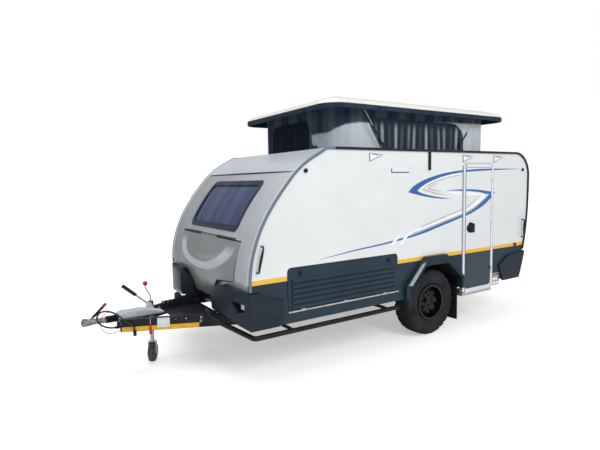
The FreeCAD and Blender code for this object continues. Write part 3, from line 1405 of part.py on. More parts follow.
def build_jockey():
    """Jockey wheel in a tube clamped inside the far rail, its crank above and a free castor below."""
    side = drawbar_half(jockey_reach) - s.drawbar_wall - s.jockey_tube_radius - s.jockey_gap
    high = drawbar_high
    outer = rod("jockey_outer", (-jockey_reach, side, s.jockey_tube_low), s.jockey_tube_radius,
                s.jockey_tube_high - s.jockey_tube_low)
    collar = rod("jockey_collar", (-jockey_reach, side, s.jockey_tube_high - s.jockey_collar_height),
                 s.jockey_collar_radius, s.jockey_collar_height)
    ahead = jockey_reach + s.jockey_clamp_half
    behind = jockey_reach - s.jockey_clamp_half
    inward = s.drawbar_wall + s.fit_gap
    seat = [(-ahead, drawbar_half(ahead) - inward), (-behind, drawbar_half(behind) - inward),
            (-behind, side), (-ahead, side)]
    clamp = prism("jockey_clamp", "XY_Plane", seat, high - s.overrun * 2, high)
    bore = rod("jockey_bore", (-jockey_reach, side, s.jockey_tube_low - s.overrun), s.jockey_leg_radius + s.fit_gap,
               s.jockey_tube_high - s.jockey_tube_low + s.overrun - s.edge_break)
    node("jockey_tube", cut("jockey_tube", fuse("jockey_form", outer, collar, clamp), bore))
    first, second = CRANK_SHARES
    top = s.jockey_tube_high + s.crank_rise
    knob_x = -jockey_reach - s.crank_offset
    crank = tube("jockey_crank_rod", [
        (-jockey_reach, side, s.jockey_tube_high), (-jockey_reach, side, s.jockey_tube_high + s.crank_rise * first),
        (knob_x, side, s.jockey_tube_high + s.crank_rise * second), (knob_x, side, top),
    ], s.crank_radius, s.crank_bend)
    profile = [(s.crank_knob_radius * KNOB_SHARES[0][0], 0)]
    profile += [(s.crank_knob_radius * along, s.crank_knob_radius * width) for along, width in KNOB_SHARES]
    profile.append((s.crank_knob_radius * KNOB_SHARES[-1][0], 0))
    knob = place(lathe("jockey_knob", profile), knob_x, side, top, X_AXIS, 90)
    node("jockey_crank", fuse("jockey_crank", crank, knob))
    leg_low = s.jockey_wheel_radius * 2 + s.running_gap
    swivel = leg_low + s.fork_plate + s.fit_gap
    leg = rod("jockey_leg", (0, 0, 0), s.jockey_leg_radius, s.jockey_leg_top - swivel)
    node("jockey_leg", leg, axle_x - jockey_reach, side, swivel)
    bridge = block("jockey_bridge", (-s.jockey_leg_radius, s.jockey_leg_radius), (-s.fork_width / 2, s.fork_width / 2),
                   (leg_low, leg_low + s.fork_plate))
    plates = []
    for hand, tag in ((-1, "a"), (1, "b")):
        near, far = sorted((hand * s.fork_width / 2, hand * (s.fork_width / 2 - s.fork_plate)), key=float)
        plates.append(block(f"fork_plate_{tag}", (-s.jockey_leg_radius, s.jockey_leg_radius), (near, far),
                            (s.jockey_wheel_radius - s.jockey_leg_radius, leg_low + s.fork_plate)))
    pin = rod("jockey_pin", (0, -s.fork_width / 2, s.jockey_wheel_radius), s.crank_radius,
              s.fork_width, X_AXIS, -90)
    castor = fuse("jockey_castor", bridge, *plates, pin)
    node("jockey_castor", castor, axle_x - jockey_reach, side, 0, Z_AXIS, CASTOR_TURN)
    tread = s.jockey_wheel_width / 2
    radius = s.jockey_wheel_radius
    bore = s.crank_radius + s.fit_gap
    shoulder, crown = ROLLER_SHARES
    wheel = lathe("jockey_wheel", [
        (-tread, bore), (-tread, radius * shoulder), (-tread * crown, radius), (tread * crown, radius),
        (tread, radius * shoulder), (tread, bore),
    ])
    node("jockey_wheel", wheel, axle_x - jockey_reach, side, s.jockey_wheel_radius, Z_AXIS, CASTOR_TURN)


def build_tray():
    """Sheet-metal tray sunk between the A-frame's rails, with a pierced upright along its far edge."""
    low = s.tray_height
    front, rear = s.tray_front_half, s.tray_rear_half
    plan = [(-tray_front, -front), (-tray_rear, -rear), (-tray_rear, rear), (-tray_front, front)]
    base = prism("tray_base", "XY_Plane", plan, low, low + s.tray_sheet)
    upright = prism("tray_upright", "XY_Plane", [
        (-tray_front, front), (-tray_rear, rear),
        (-tray_rear, rear - s.tray_sheet), (-tray_front, front - s.tray_sheet),
    ], low, low + s.tray_wall)
    holes = []
    for number in range(TRAY_HOLE_COUNT):
        share = (number + 0.5) / TRAY_HOLE_COUNT
        x = -tray_front + (tray_front - tray_rear) * share
        y = front + (rear - front) * share
        holes.append(rod(f"tray_hole_{number + 1}", (x, y - s.overrun, low + s.tray_wall - s.tray_hole_radius * 2),
                         s.tray_hole_radius, s.overrun * 2, X_AXIS, -90))
    node("drawbar_tray", fuse("drawbar_tray", base, cut("tray_pierced", upright, *holes)))


def build_sliders():
    """Side bars hooked over the A-frame's rails, bent at the front corners and carried by arms off the chassis."""
    rail_centre = drawbar_half(slider_root) - s.drawbar_wall / 2
    route = [
        (-slider_root, -rail_centre, drawbar_high - s.slider_radius),
        (-slider_root - s.slider_elbow_fore, -rail_centre, s.slider_elbow_height),
        (-slider_root - s.slider_elbow_fore / 3, -rail_centre - s.slider_elbow_out, s.slider_dip),
        (-slider_corner, -s.slider_half, s.slider_height),
        (-s.slider_end, -s.slider_half, s.slider_height),
    ]
    bar = tube("slider_bar", route, s.slider_radius, s.slider_bend)
    foot = block("slider_foot", (-slider_root - s.overrun, -slider_root + s.overrun * 2),
                 (-rail_centre - s.overrun, -rail_centre + s.overrun),
                 (s.drawbar_bottom, drawbar_high + s.fit_gap))
    parts = [cut("slider_seated", bar, foot)]
    thin, raised = SLIDER_ARM_SHARES
    for number, share in enumerate(SLIDER_SHARES, start=1):
        x = -slider_corner + (slider_corner - s.slider_end) * share
        parts.append(rod(f"slider_arm_{number}", (x, -s.slider_half, s.slider_height + s.slider_radius * raised),
                         s.slider_radius * thin, s.slider_half - s.rail_half_gauge - s.rail_width / 2, X_AXIS, -90))
    left = fuse("slider_left", *parts)
    node("slider_bars", fuse("slider_bars", left, mirrored("slider_right", left)))


def build_step():
    face = -half_width - s.door_proud
    frame = block("step_frame", (s.step_front, s.step_rear), (face, face + s.step_tread),
                  (s.step_top - s.step_depth, s.step_top))
    well = block("step_well", (s.step_front + s.edge_break * 2, s.step_rear - s.edge_break * 2),
                 (face + s.edge_break * 2, face + s.step_tread - s.edge_break * 2),
                 (s.step_top - s.step_depth - s.overrun, s.step_top - s.edge_break))
    node("entry_step", cut("entry_step", frame, well))
    sheet_face = -half_width + s.edge_break
    plate = block("guard_plate", (s.door_rear, s.guard_rear), (sheet_face, sheet_face + s.guard_sheet),
                  (s.guard_low, s.door_cutaway))
    holes = []
    pitch = (s.guard_rear - s.door_rear) / GUARD_COLUMNS
    rise = (s.door_cutaway - s.guard_low) / GUARD_ROWS
    for column in range(GUARD_COLUMNS):
        for level in range(GUARD_ROWS):
            holes.append(rod(f"guard_hole_{column + 1}_{level + 1}",
                             (s.door_rear + pitch * (column + 0.5), sheet_face - s.overrun,
                              s.guard_low + rise * (level + 0.5)),
                             s.guard_hole_radius, s.overrun * 2, X_AXIS, -90))
    node("side_guard", cut("side_guard", plate, *holes))


def build_mudflaps():
    flap = block("mudflap_sheet", (s.flap_place, s.flap_place + s.flap_thickness), (-s.flap_outer, -s.flap_inner),
                 (s.flap_low, s.flap_high))
    hanger = block("mudflap_hanger", (s.flap_place, s.arch_half), (-inner_half, -s.flap_inner),
                   (s.flap_high - s.flap_thickness * 2, s.flap_high))
    left = fuse("mudflap_left", flap, hanger)
    node("mudflaps", fuse("mudflaps", left, mirrored("mudflap_right", left)))


# Handles, latches and cords
def grab(name, top, low, face, proud, radius, bend):
    """A bent handle that stands off a wall between two places, each given as X and Z."""
    out = face - proud
    return tube(name, [(top[0], face, top[1]), (top[0], out, top[1]), (low[0], out, low[1]), (low[0], face, low[1])],
                radius, bend)


def build_fittings():
    face = -half_width - s.fit_gap
    front = -s.nose_reach + s.grab_front_setback
    rear = s.body_rear - s.grab_rear_setback
    handles = []
    for label, top, low in (("front", front, front - s.grab_slant), ("rear", rear, rear)):
        handles.append(grab(f"grab_{label}", (top, s.grab_top), (low, s.grab_low), face, s.grab_proud,
                            s.grab_radius, s.grab_bend))
    latch_high = s.roof_height - s.latch_drop
    for label, x, z in (("front", -s.nose_reach + s.latch_front_setback, latch_high),
                        ("rear", s.body_rear - s.latch_rear_setback, latch_high),
                        ("low", s.body_rear - s.catch_rear_setback, (s.stripe_low + s.stripe_high) / 2)):
        handles.append(rod(f"latch_{label}", (x, face, z), s.latch_radius, s.latch_proud, X_AXIS, 90))
    handles.append(block("roof_clamp", (-s.clamp_place - s.clamp_half, -s.clamp_place + s.clamp_half),
                         (face - s.latch_proud, face), (latch_high, s.roof_height - s.clamp_top_drop)))
    left = fuse("fittings_left", *handles)
    node("side_fittings", fuse("side_fittings", left, mirrored("fittings_right", left)))
    door_face = -half_width - s.door_proud - s.fit_gap
    low = s.pull_height - s.pull_length / 2
    high = s.pull_height + s.pull_length / 2
    plate = prism("pull_plate", "XZ_Plane",
                  rectangle((s.pull_place - s.pull_half, s.pull_place + s.pull_half), (low, high)),
                  door_face - s.pull_plate, door_face)
    round_along(plate, Y_AXIS, s.grab_bend)
    bar = grab("pull_bar", (s.pull_place, high - s.pull_radius * 2), (s.pull_place, low + s.pull_radius * 2),
               door_face - s.pull_plate / 2, s.pull_proud - s.pull_radius, s.pull_radius, s.pull_radius * 2)
    node("door_handle", fuse("door_handle", plate, bar))


def lead_start(out):
    """Where the electric lead leaves the near rail's front end, and points ahead of it."""
    return (-drawbar_tip - out, -s.drawbar_tip_half + s.drawbar_wall / 2, s.drawbar_bottom + s.cheek_heel - s.gland_radius)


def lead_end(rise):
    """Where the lead enters its holder on the near rail's outer face, and points above it."""
    ahead = drawbar_tip - s.bellows_length
    return (-ahead, -drawbar_half(ahead) - s.holder_radius + s.edge_break * 2, s.coupling_height - s.brake_plate_length + rise)


def cord_tube(name, route, radius):
    """A cord: straight runs joined by tangent arcs, each as wide as its two runs allow."""
    points = [vector(*point) for point in route]
    edges = []
    start = points[0]
    for before, corner, after in zip(points, points[1:], points[2:]):
        into = (corner - before).normalize()
        away = (after - corner).normalize()
        turn = into.getAngle(away)
        reach = min((corner - before).Length, (after - corner).Length) * BEND_SHARE
        bend = reach / math.tan(turn / 2)
        middle = corner + (away - into).normalize() * bend * (1 / math.cos(turn / 2) - 1)
        edges.append(Part.LineSegment(start, corner - into * reach).toShape())
        edges.append(Part.Arc(corner - into * reach, middle, corner + away * reach).toShape())
        start = corner + away * reach
        print(name, "bend", round(bend, 1), "turn", round(math.degrees(turn), 1))
    edges.append(Part.LineSegment(start, points[-1]).toShape())
    path = Part.Wire(edges)
    profile = Part.Wire(Part.makeCircle(float(radius), points[0], points[1] - points[0]))
    solid = path.makePipeShell([profile], True, False)
    print(name, "length", round(path.Length, 1), "volume share",
          round(solid.Volume / (math.pi * float(radius) ** 2 * path.Length), 4))
    return drawn(name, solid)


def cord_points(shares):
    loop = s.cord_loop
    return [(loop * along - s.hitch_reach, -loop * aside, s.coupling_height + loop * rise)
            for along, aside, rise in shares]


def build_cords():
    """The lead loops over the coupling to its holder; the thin cable loops under it to the housing."""
    lead = [lead_start(s.gland_length), *cord_points(LEAD_SHARES), lead_end(0)]
    node("electric_lead", cord_tube("electric_lead", lead, s.lead_radius))
    foot = (-drawbar_tip - s.fit_gap, -s.drawbar_tip_half + s.cable_inset, s.drawbar_bottom + s.fork_plate * 2)
    eye = (-bellows_rear - s.fit_gap, -s.overrun_half + s.cable_eye, s.coupling_height + s.bellows_radius - s.edge_break)
    cable = [foot, *cord_points(CABLE_SHARES), eye]
    node("breakaway_cable", cord_tube("breakaway_cable", cable, s.cable_radius))


build_chassis()
build_drawbar()
build_coupling()
build_jockey()
build_tray()
build_running_gear()
build_sides()
build_shell()
build_wheel_boxes()
build_flares()
build_trims()
build_window()
build_lid()
build_cheek()
build_tail()
build_door()
build_hatch()
build_poptop()
build_canvas()
build_struts()
build_sliders()
build_step()
build_mudflaps()
build_fittings()
build_cords()

document.recompute()
for item in document.Objects:
    if "Invalid" in item.State or "Error" in item.State:
        raise RuntimeError(f"{item.Label} did not compute: {item.State}")
os.makedirs("parts", exist_ok=True)
for name, item in nodes.items():
    shape = item.Shape
    if shape.isNull() or not shape.isValid() or not shape.Solids:
        raise RuntimeError(f"{name} has no valid solid")
    shape.exportStep(f"parts/{name}.step")
box = Part.makeCompound([item.Shape for item in nodes.values()]).BoundBox
print(len(nodes), "sub-parts, box", box)
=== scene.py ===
# Pop-top teardrop caravan trailer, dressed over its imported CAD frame. Metres, ground at z = 0, hitch towards -X,
# door side -Y. Camera, cords and studio come first. The rest follows the trailer as it is put together, from its
# frame and wheels up to the lifting roof.
import math
import bpy
import numpy as np
from mathutils import Matrix, Vector


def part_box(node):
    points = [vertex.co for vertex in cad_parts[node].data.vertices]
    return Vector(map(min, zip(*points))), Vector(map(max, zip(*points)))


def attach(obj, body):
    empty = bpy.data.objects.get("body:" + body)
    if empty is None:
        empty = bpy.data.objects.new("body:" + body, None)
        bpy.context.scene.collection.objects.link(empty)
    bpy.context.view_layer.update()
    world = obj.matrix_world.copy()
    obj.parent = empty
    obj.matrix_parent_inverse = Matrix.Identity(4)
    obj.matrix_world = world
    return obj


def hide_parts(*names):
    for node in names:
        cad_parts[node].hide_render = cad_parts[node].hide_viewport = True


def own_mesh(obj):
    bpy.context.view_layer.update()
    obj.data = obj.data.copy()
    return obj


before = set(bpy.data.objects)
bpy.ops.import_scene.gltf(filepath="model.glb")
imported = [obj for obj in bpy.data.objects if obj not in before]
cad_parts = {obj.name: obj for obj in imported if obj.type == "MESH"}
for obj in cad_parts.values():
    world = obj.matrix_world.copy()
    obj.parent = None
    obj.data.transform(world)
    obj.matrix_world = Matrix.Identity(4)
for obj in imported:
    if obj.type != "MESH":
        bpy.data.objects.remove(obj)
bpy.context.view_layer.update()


# The viewer stands ahead of the hitch on the door side, eyes at 1.8 m, and looks slightly down along the near side.
# The three columns are the camera's right, its up and the way back from the object.
view_yaw = math.radians(33.248)
view_pitch = math.radians(5.301)
view_roll = math.radians(-1.088)
eye_place = (-3.339, -4.641, 1.827)
ahead = Vector((math.sin(view_yaw) * math.cos(view_pitch), math.cos(view_yaw) * math.cos(view_pitch),
                -math.sin(view_pitch)))
level = Vector((math.cos(view_yaw), -math.sin(view_yaw), 0.0))
upright = level.cross(ahead)
right = level * math.cos(view_roll) + upright * math.sin(view_roll)
above = upright * math.cos(view_roll) - level * math.sin(view_roll)
eye = bpy.data.objects.new("camera", bpy.data.cameras.new("camera"))
bpy.context.scene.collection.objects.link(eye)
eye.data.lens = 28.159
eye.data.sensor_width = 36.0
eye.data.clip_end = 200.0
eye.matrix_world = Matrix((
    (right.x, above.x, -ahead.x, eye_place[0]),
    (right.y, above.y, -ahead.y, eye_place[1]),
    (right.z, above.z, -ahead.z, eye_place[2]),
    (0.0, 0.0, 0.0, 1.0)))
bpy.context.scene.camera = eye
bpy.context.scene.view_settings.view_transform = "Standard"


# The black electric lead leaves the near rail's front end through a gland, loops up over the coupling and drops into
# its holder on the rail's side. The thin red breakaway cable loops under it back to the over-run housing.
def srgb(colour):
    """Three 0..255 screen values as linear light: below 0.04045 divided by 12.92, above it the 2.4 power curve."""
    share = np.array(colour) / 255.0
    linear = np.where(share < 0.04045, share / 12.92, ((share + 0.055) / 1.055) ** 2.4)
    return (*linear.tolist(), 1.0)


def feed(tree, node, inputs):
    """Sets a node's inputs by name or number: to a value, or by a link from the socket that drives it."""
    for key, value in inputs.items():
        if isinstance(value, bpy.types.NodeSocket):
            tree.links.new(value, node.inputs[key])
        else:
            node.inputs[key].default_value = value
    return node


def wire(tree, kind, out, inputs=None, **settings):
    """Adds a shader node of that kind with its own settings, feeds its inputs and returns its output named out."""
    node = tree.nodes.new("ShaderNode" + kind)
    for key, value in settings.items():
        setattr(node, key, value)
    return feed(tree, node, inputs or {}).outputs[out]


def new_material(name):
    """A node material whose Principled shader is wired to the output: returns it, its tree and the shader."""
    material = bpy.data.materials.new(name)
    material.use_nodes = True
    return material, material.node_tree, material.node_tree.nodes["Principled BSDF"]


def finish(name, colour, shade, roughness, relief, metallic=0.0, coat=0.0, drift=2.0, grain=420.0, stretch=(1, 1, 1),
           specular=0.5):
    """Two noises on object coordinates: a slow one of `drift` waves a metre mixes colour with shade and moves the
    roughness between its two values, a fine one of `grain` waves a metre lifts the skin by `relief` metres."""
    material, tree, shader = new_material(name)
    place = wire(tree, "TexCoord", "Object")
    run = wire(tree, "Mapping", "Vector", {"Scale": stretch, "Vector": place})
    slow = wire(tree, "TexNoise", "Fac", {"Scale": drift, "Detail": 6.0, "Roughness": 0.62, "Vector": run})
    fine = wire(tree, "TexNoise", "Fac", {"Scale": grain, "Detail": 2.0, "Vector": run})
    spread = wire(tree, "MapRange", "Result", {"From Min": 0.35, "From Max": 0.65, "Value": slow})
    tint = wire(tree, "Mix", "Result", {"A": srgb(shade), "B": srgb(colour), "Factor": spread}, data_type="RGBA")
    gloss = wire(tree, "MapRange", "Result", {"To Min": roughness[1], "To Max": roughness[0], "Value": spread})
    skin = wire(tree, "Bump", "Normal", {"Distance": relief, "Height": fine})
    feed(tree, shader, {"Base Color": tint, "Roughness": gloss, "Normal": skin, "Metallic": metallic,
                        "Coat Weight": coat, "Coat Roughness": 0.06, "Specular IOR Level": specular})
    return material


def cord_line(name, route, radius, material):
    """A smooth line: an open NURBS of order 3 with the route's points as its controls, thickened to the radius."""
    line = bpy.data.curves.new(name, "CURVE")
    line.dimensions = "3D"
    line.bevel_depth = radius
    line.bevel_resolution = 5
    line.use_fill_caps = True
    spline = line.splines.new("NURBS")
    spline.points.add(len(route) - 1)
    spline.points.foreach_set("co", np.column_stack([route, np.ones(len(route))]).ravel())
    spline.order_u = 3
    spline.use_endpoint_u = True
    spline.resolution_u = 12
    line.materials.append(material)
    piece = bpy.data.objects.new(name, line)
    bpy.context.scene.collection.objects.link(piece)
    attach(piece, "trailer")
    return piece


lead_route = np.array([
    (-2.417, -0.070, 0.489), (-2.470, -0.070, 0.489), (-2.540, -0.077, 0.515), (-2.592, -0.084, 0.562),
    (-2.606, -0.087, 0.622), (-2.572, -0.088, 0.664), (-2.508, -0.089, 0.665), (-2.442, -0.100, 0.632),
    (-2.388, -0.128, 0.580), (-2.330, -0.148, 0.525), (-2.287, -0.1528, 0.487), (-2.287, -0.1528, 0.450)])
lead_sheath = finish("lead_sheath", (30, 30, 32), (22, 22, 23), (0.42, 0.6), 0.0002, drift=30.0, grain=900.0)
electric_lead = cord_line("electric_lead_line", lead_route, 0.008, lead_sheath)
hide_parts("electric_lead")

cable_route = np.array([
    (-2.3973, -0.062, 0.450), (-2.437, -0.061, 0.443), (-2.485, -0.059, 0.435), (-2.530, -0.058, 0.452),
    (-2.560, -0.057, 0.492), (-2.573, -0.057, 0.543), (-2.563, -0.057, 0.594), (-2.532, -0.056, 0.634),
    (-2.487, -0.054, 0.645), (-2.443, -0.051, 0.626), (-2.426, -0.050, 0.598), (-2.4023, -0.050, 0.595)])
cable_red = finish("cable_red", (176, 42, 44), (140, 30, 34), (0.4, 0.6), 0.0002, drift=40.0, grain=1500.0)
breakaway_cable = cord_line("breakaway_cable_line", cable_route, 0.003, cable_red)
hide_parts("breakaway_cable")


# A white studio: a pale round floor that goes white where no shadow falls and further out, a white sky that is dimmer
# for all light but what the camera sees straight or through a pane, and two soft lamps, the stronger on the door side.
sky = bpy.data.worlds.new("studio_sky")
bpy.context.scene.world = sky
sky.use_nodes = True
sky_tree = sky.node_tree
sky_seen = wire(sky_tree, "Math", 0, {0: wire(sky_tree, "LightPath", "Is Camera Ray"),
                                      1: wire(sky_tree, "LightPath", "Is Transmission Ray")}, operation="MAXIMUM")
sky_level = wire(sky_tree, "MapRange", "Result", {"To Min": 0.55, "To Max": 1.0, "Value": sky_seen})
feed(sky_tree, sky_tree.nodes["Background"], {"Strength": sky_level, "Color": (1.0, 1.0, 1.0, 1.0)})

floor_material, floor_tree, floor_shader = new_material("studio_floor")
feed(floor_tree, floor_shader, {"Base Color": (0.86, 0.86, 0.86, 1.0), "Roughness": 0.9})
floor_place = wire(floor_tree, "TexCoord", "Object")
floor_reach = wire(floor_tree, "VectorMath", "Value", {0: floor_place}, operation="LENGTH")
floor_far = wire(floor_tree, "MapRange", "Result", {"From Min": 4.0, "From Max": 14.0, "To Min": 0.42, "To Max": 1.0,
                                                    "Value": floor_reach})
floor_glow = wire(floor_tree, "Emission", "Emission", {"Strength": wire(floor_tree, "LightPath", "Is Camera Ray"),
                                                       "Color": floor_far})
floor_sum = wire(floor_tree, "AddShader", "Shader", {0: floor_shader.outputs["BSDF"], 1: floor_glow})
feed(floor_tree, floor_tree.nodes["Material Output"], {"Surface": floor_sum})


def mesh_piece(name, points, faces, material):
    """An object at the origin whose mesh has these points and faces."""
    mesh = bpy.data.meshes.new(name)
    mesh.from_pydata(points, [], faces)
    mesh.materials.append(material)
    piece = bpy.data.objects.new(name, mesh)
    bpy.context.scene.collection.objects.link(piece)
    return piece


def circle(count, first, second):
    """Points round a unit circle: the cosine of their turn along the first axis plus its sine along the second."""
    turn = np.linspace(0.0, 2.0 * math.pi, count, endpoint=False)[:, None]
    return np.cos(turn) * first + np.sin(turn) * second


floor_radius = 60.0
floor_ring = floor_radius * circle(64, (1, 0, 0), (0, 1, 0))
studio_floor = mesh_piece("studio_floor", floor_ring.tolist(), [list(range(64))], floor_material)


def soft_lamp(name, place, aim, size, watts):
    """A square area lamp of the given size at place, its -Z turned to aim."""
    lamp = bpy.data.lights.new(name, "AREA")
    lamp.size = size
    lamp.energy = watts
    holder = bpy.data.objects.new(name, lamp)
    holder.location = place
    holder.rotation_euler = (Vector(aim) - Vector(place)).to_track_quat("-Z", "Y").to_euler()
    bpy.context.scene.collection.objects.link(holder)


soft_lamp("lamp_door_side", (-0.4, -8.2, 6.2), (0.4, -0.9, 1.1), 4.0, 400.0)
soft_lamp("lamp_above", (-1.5, 1.0, 7.5), (0.0, 0.0, 1.4), 5.0, 230.0)


# The A-frame, the rails under the floor and the bars along the sides are welded steel. They and the struts' barrels
# are powder coated satin black, a finish laid on the CAD nodes themselves.
def dress(material, *names):
    """Gives CAD nodes that finish, on each of their material slots."""
    for name in names:
        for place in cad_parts[name].material_slots:
            place.material = material


dress(finish("frame_black", (30, 34, 42), (18, 21, 27), (0.34, 0.52), 0.0004, drift=5.0, grain=260.0, specular=0.25),
      "chassis", "drawbar", "drawbar_tray", "axle_beam", "slider_bars", "strut_feet", "strut_front_left",
      "strut_front_right", "strut_rear_left", "strut_rear_right")

# A strip of yellow vinyl runs along the lower part of each rail's outer face, and a blank white plate is stuck over
# it ahead of the tray. Both are flat grids that follow the rail's slant in plan.
rail_yellow = finish("rail_yellow", (233, 180, 14), (205, 152, 10), (0.4, 0.6), 0.0002, drift=16.0)
plate_white = finish("plate_white", (222, 224, 224), (206, 209, 211), (0.3, 0.5), 0.0001, drift=24.0)


def surface(name, grid, material, body, wrap=False):
    """A mesh from a grid of points, rows by columns by 3, with a face between each four neighbours; wrap joins the
    last row to the first. Faces are smooth and the piece rides on its body."""
    rows, columns = grid.shape[:2]
    number = np.arange(rows * columns).reshape(rows, columns)
    if wrap:
        number = np.vstack([number, number[:1]])
    quads = np.stack([number[:-1, :-1], number[1:, :-1], number[1:, 1:], number[:-1, 1:]], -1).reshape(-1, 4)
    piece = mesh_piece(name, grid.reshape(-1, 3), quads, material)
    piece.data.shade_smooth()
    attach(piece, body)
    return piece


sides = ((-1.0, "left"), (1.0, "right"))
rail_front, rail_half, rail_splay = -2.397, 0.095, 0.450 / 1.035


def rail_patch(name, x0, x1, z0, z1, proud, side, material):
    """A flat patch on a rail's outer face: y is 0.095 at the front end, x -2.397, and grows by 0.4348 a metre."""
    x, z = np.meshgrid(np.linspace(x0, x1, 24), np.linspace(z0, z1, 4), indexing="ij")
    grid = np.stack([x, side * (rail_half + (x - rail_front) * rail_splay + proud), z], -1)
    surface(name, grid if side < 0 else grid[::-1], material, "trailer")


for side, label in sides:
    rail_patch(f"rail_stripe_{label}", -2.392, -1.736, 0.4415, 0.487, 0.0008, side, rail_yellow)
rail_patch("rail_plate", -2.094, -1.988, 0.466, 0.556, 0.0016, -1, plate_white)


# The coupling head, over-run housing and jockey stand are galvanised, a grey with the spangle of the zinc. The
# coupling's handle and the jockey tube's collar are black and the crank's knob red: zones of the same finishes.
def repaint(material, mask, colour):
    """Lays a colour over the base colour of a finish where the mask is 1."""
    tree = material.node_tree
    shader = tree.nodes["Principled BSDF"]
    before = shader.inputs["Base Color"].links[0].from_socket
    paint = wire(tree, "Mix", "Result", {"Factor": mask, "A": before, "B": srgb(colour)}, data_type="RGBA")
    feed(tree, shader, {"Base Color": paint})
    return material


def banded(material, *rules):
    """Paints zones over a finish. A rule is a colour and its zones, each (axis, low, high): where the object
    coordinate of every axis named lies between its low and high, the base colour becomes the rule's colour."""
    tree = material.node_tree
    place = wire(tree, "TexCoord", "Object")
    for colour, *zones in rules:
        mask = 1.0
        for axis, low, high in zones:
            inside = wire(tree, "Math", 0, {0: wire(tree, "SeparateXYZ", axis, {"Vector": place}), 1: (low + high) / 2,
                                            2: (high - low) / 2}, operation="COMPARE")
            mask = wire(tree, "Math", 0, {0: mask, 1: inside}, operation="MULTIPLY")
        repaint(material, mask, colour)
    return material


zinc = finish("galvanised_zinc", (206, 214, 220), (172, 182, 190), (0.28, 0.48), 0.0003, metallic=0.3, drift=38.0)
dress(zinc, "overrun_housing", "jockey_leg", "jockey_castor")
collar_zinc = finish("jockey_zinc", (150, 150, 148), (118, 118, 117), (0.34, 0.52), 0.0003, metallic=0.5, drift=38.0)
dress(banded(collar_zinc, ((26, 26, 28), ("Z", 0.5655, 0.70))), "jockey_tube")
crank_zinc = finish("crank_zinc", (150, 150, 150), (118, 118, 119), (0.3, 0.46), 0.0003, metallic=0.6, drift=38.0)
dress(banded(crank_zinc, ((206, 30, 38), ("Z", 0.796, 0.90))), "jockey_crank")
cast_zinc = finish("cast_zinc", (150, 152, 154), (96, 98, 101), (0.3, 0.5), 0.0005, metallic=0.6, drift=22.0)
dress(banded(cast_zinc, ((28, 26, 28), ("X", -2.66, -2.40), ("Z", 0.606, 0.80))), "coupling_head")

# The hand brake lever is a zinc shank with a black plastic grip over its upper half, painted by height on the one
# CAD node.
brake_finish = finish("brake_lever", (188, 192, 196), (150, 156, 162), (0.32, 0.5), 0.0003, metallic=0.4, drift=30.0)
dress(banded(brake_finish, ((28, 28, 30), ("Z", 0.7355, 0.90))), "hand_brake_lever")

# Bellows and mudflaps are plain black rubber. The lifting roof's seal is a blue-black one, and the jockey's roller is
# brown with dust.
dull_rubber = finish("dull_rubber", (30, 31, 34), (20, 21, 24), (0.6, 0.8), 0.0005, drift=9.0, grain=180.0,
                     specular=0.25)
dress(dull_rubber, "coupling_bellows", "mudflaps")
dress(finish("roof_rubber", (38, 52, 70), (28, 40, 57), (0.6, 0.8), 0.0005, drift=9.0, grain=180.0, specular=0.2),
      "poptop_seal")
dress(finish("roller_rubber", (96, 82, 72), (52, 46, 42), (0.6, 0.85), 0.0008, drift=26.0, grain=120.0), "jockey_wheel")

# The wheels are pressed steel, sprayed gloss black. Their windows, nuts and caps are in the CAD model, so they get a
# finish only.
dress(finish("rim_black", (17, 19, 25), (10, 11, 15), (0.2, 0.34), 0.0001, coat=0.12, drift=6.0, specular=0.3),
      "rim_left", "rim_right")

# Off-road tyres with deep blocks: two staggered rows in the middle and shoulder blocks that run down onto the wall.
# They are moulded black rubber, dull and slightly greyed by use, and turn with their rims.
wheel_x, wheel_y, wheel_z = 0.888, 0.853, 0.390
tyre_reach = 0.3899
block_count, block_height = 26, 0.0082
tyre_rubber = finish("tyre_rubber", (40, 42, 46), (22, 23, 26), (0.6, 0.85), 0.0006, drift=7.0, grain=240.0,
                     specular=0.25)


def step_up(value, low, high):
    """0 below low, 1 above high and the smooth cubic 3s^2 - 2s^3 between them."""
    share = np.clip((value - low) / (high - low), 0.0, 1.0)
    return share * share * (3.0 - 2.0 * share)


def respaced(line, count, closed=False):
    """Points at equal steps along a line of straight parts, their distances along it and its length; a closed line
    comes back to its first point, which isn't given twice."""
    run = np.concatenate([[0.0], np.cumsum(np.hypot(*np.diff(line, axis=0).T))])
    at = np.linspace(0.0, run[-1], count, endpoint=not closed)
    return np.stack([np.interp(at, run, line[:, 0]), np.interp(at, run, line[:, 1])], 1), at, float(run[-1])


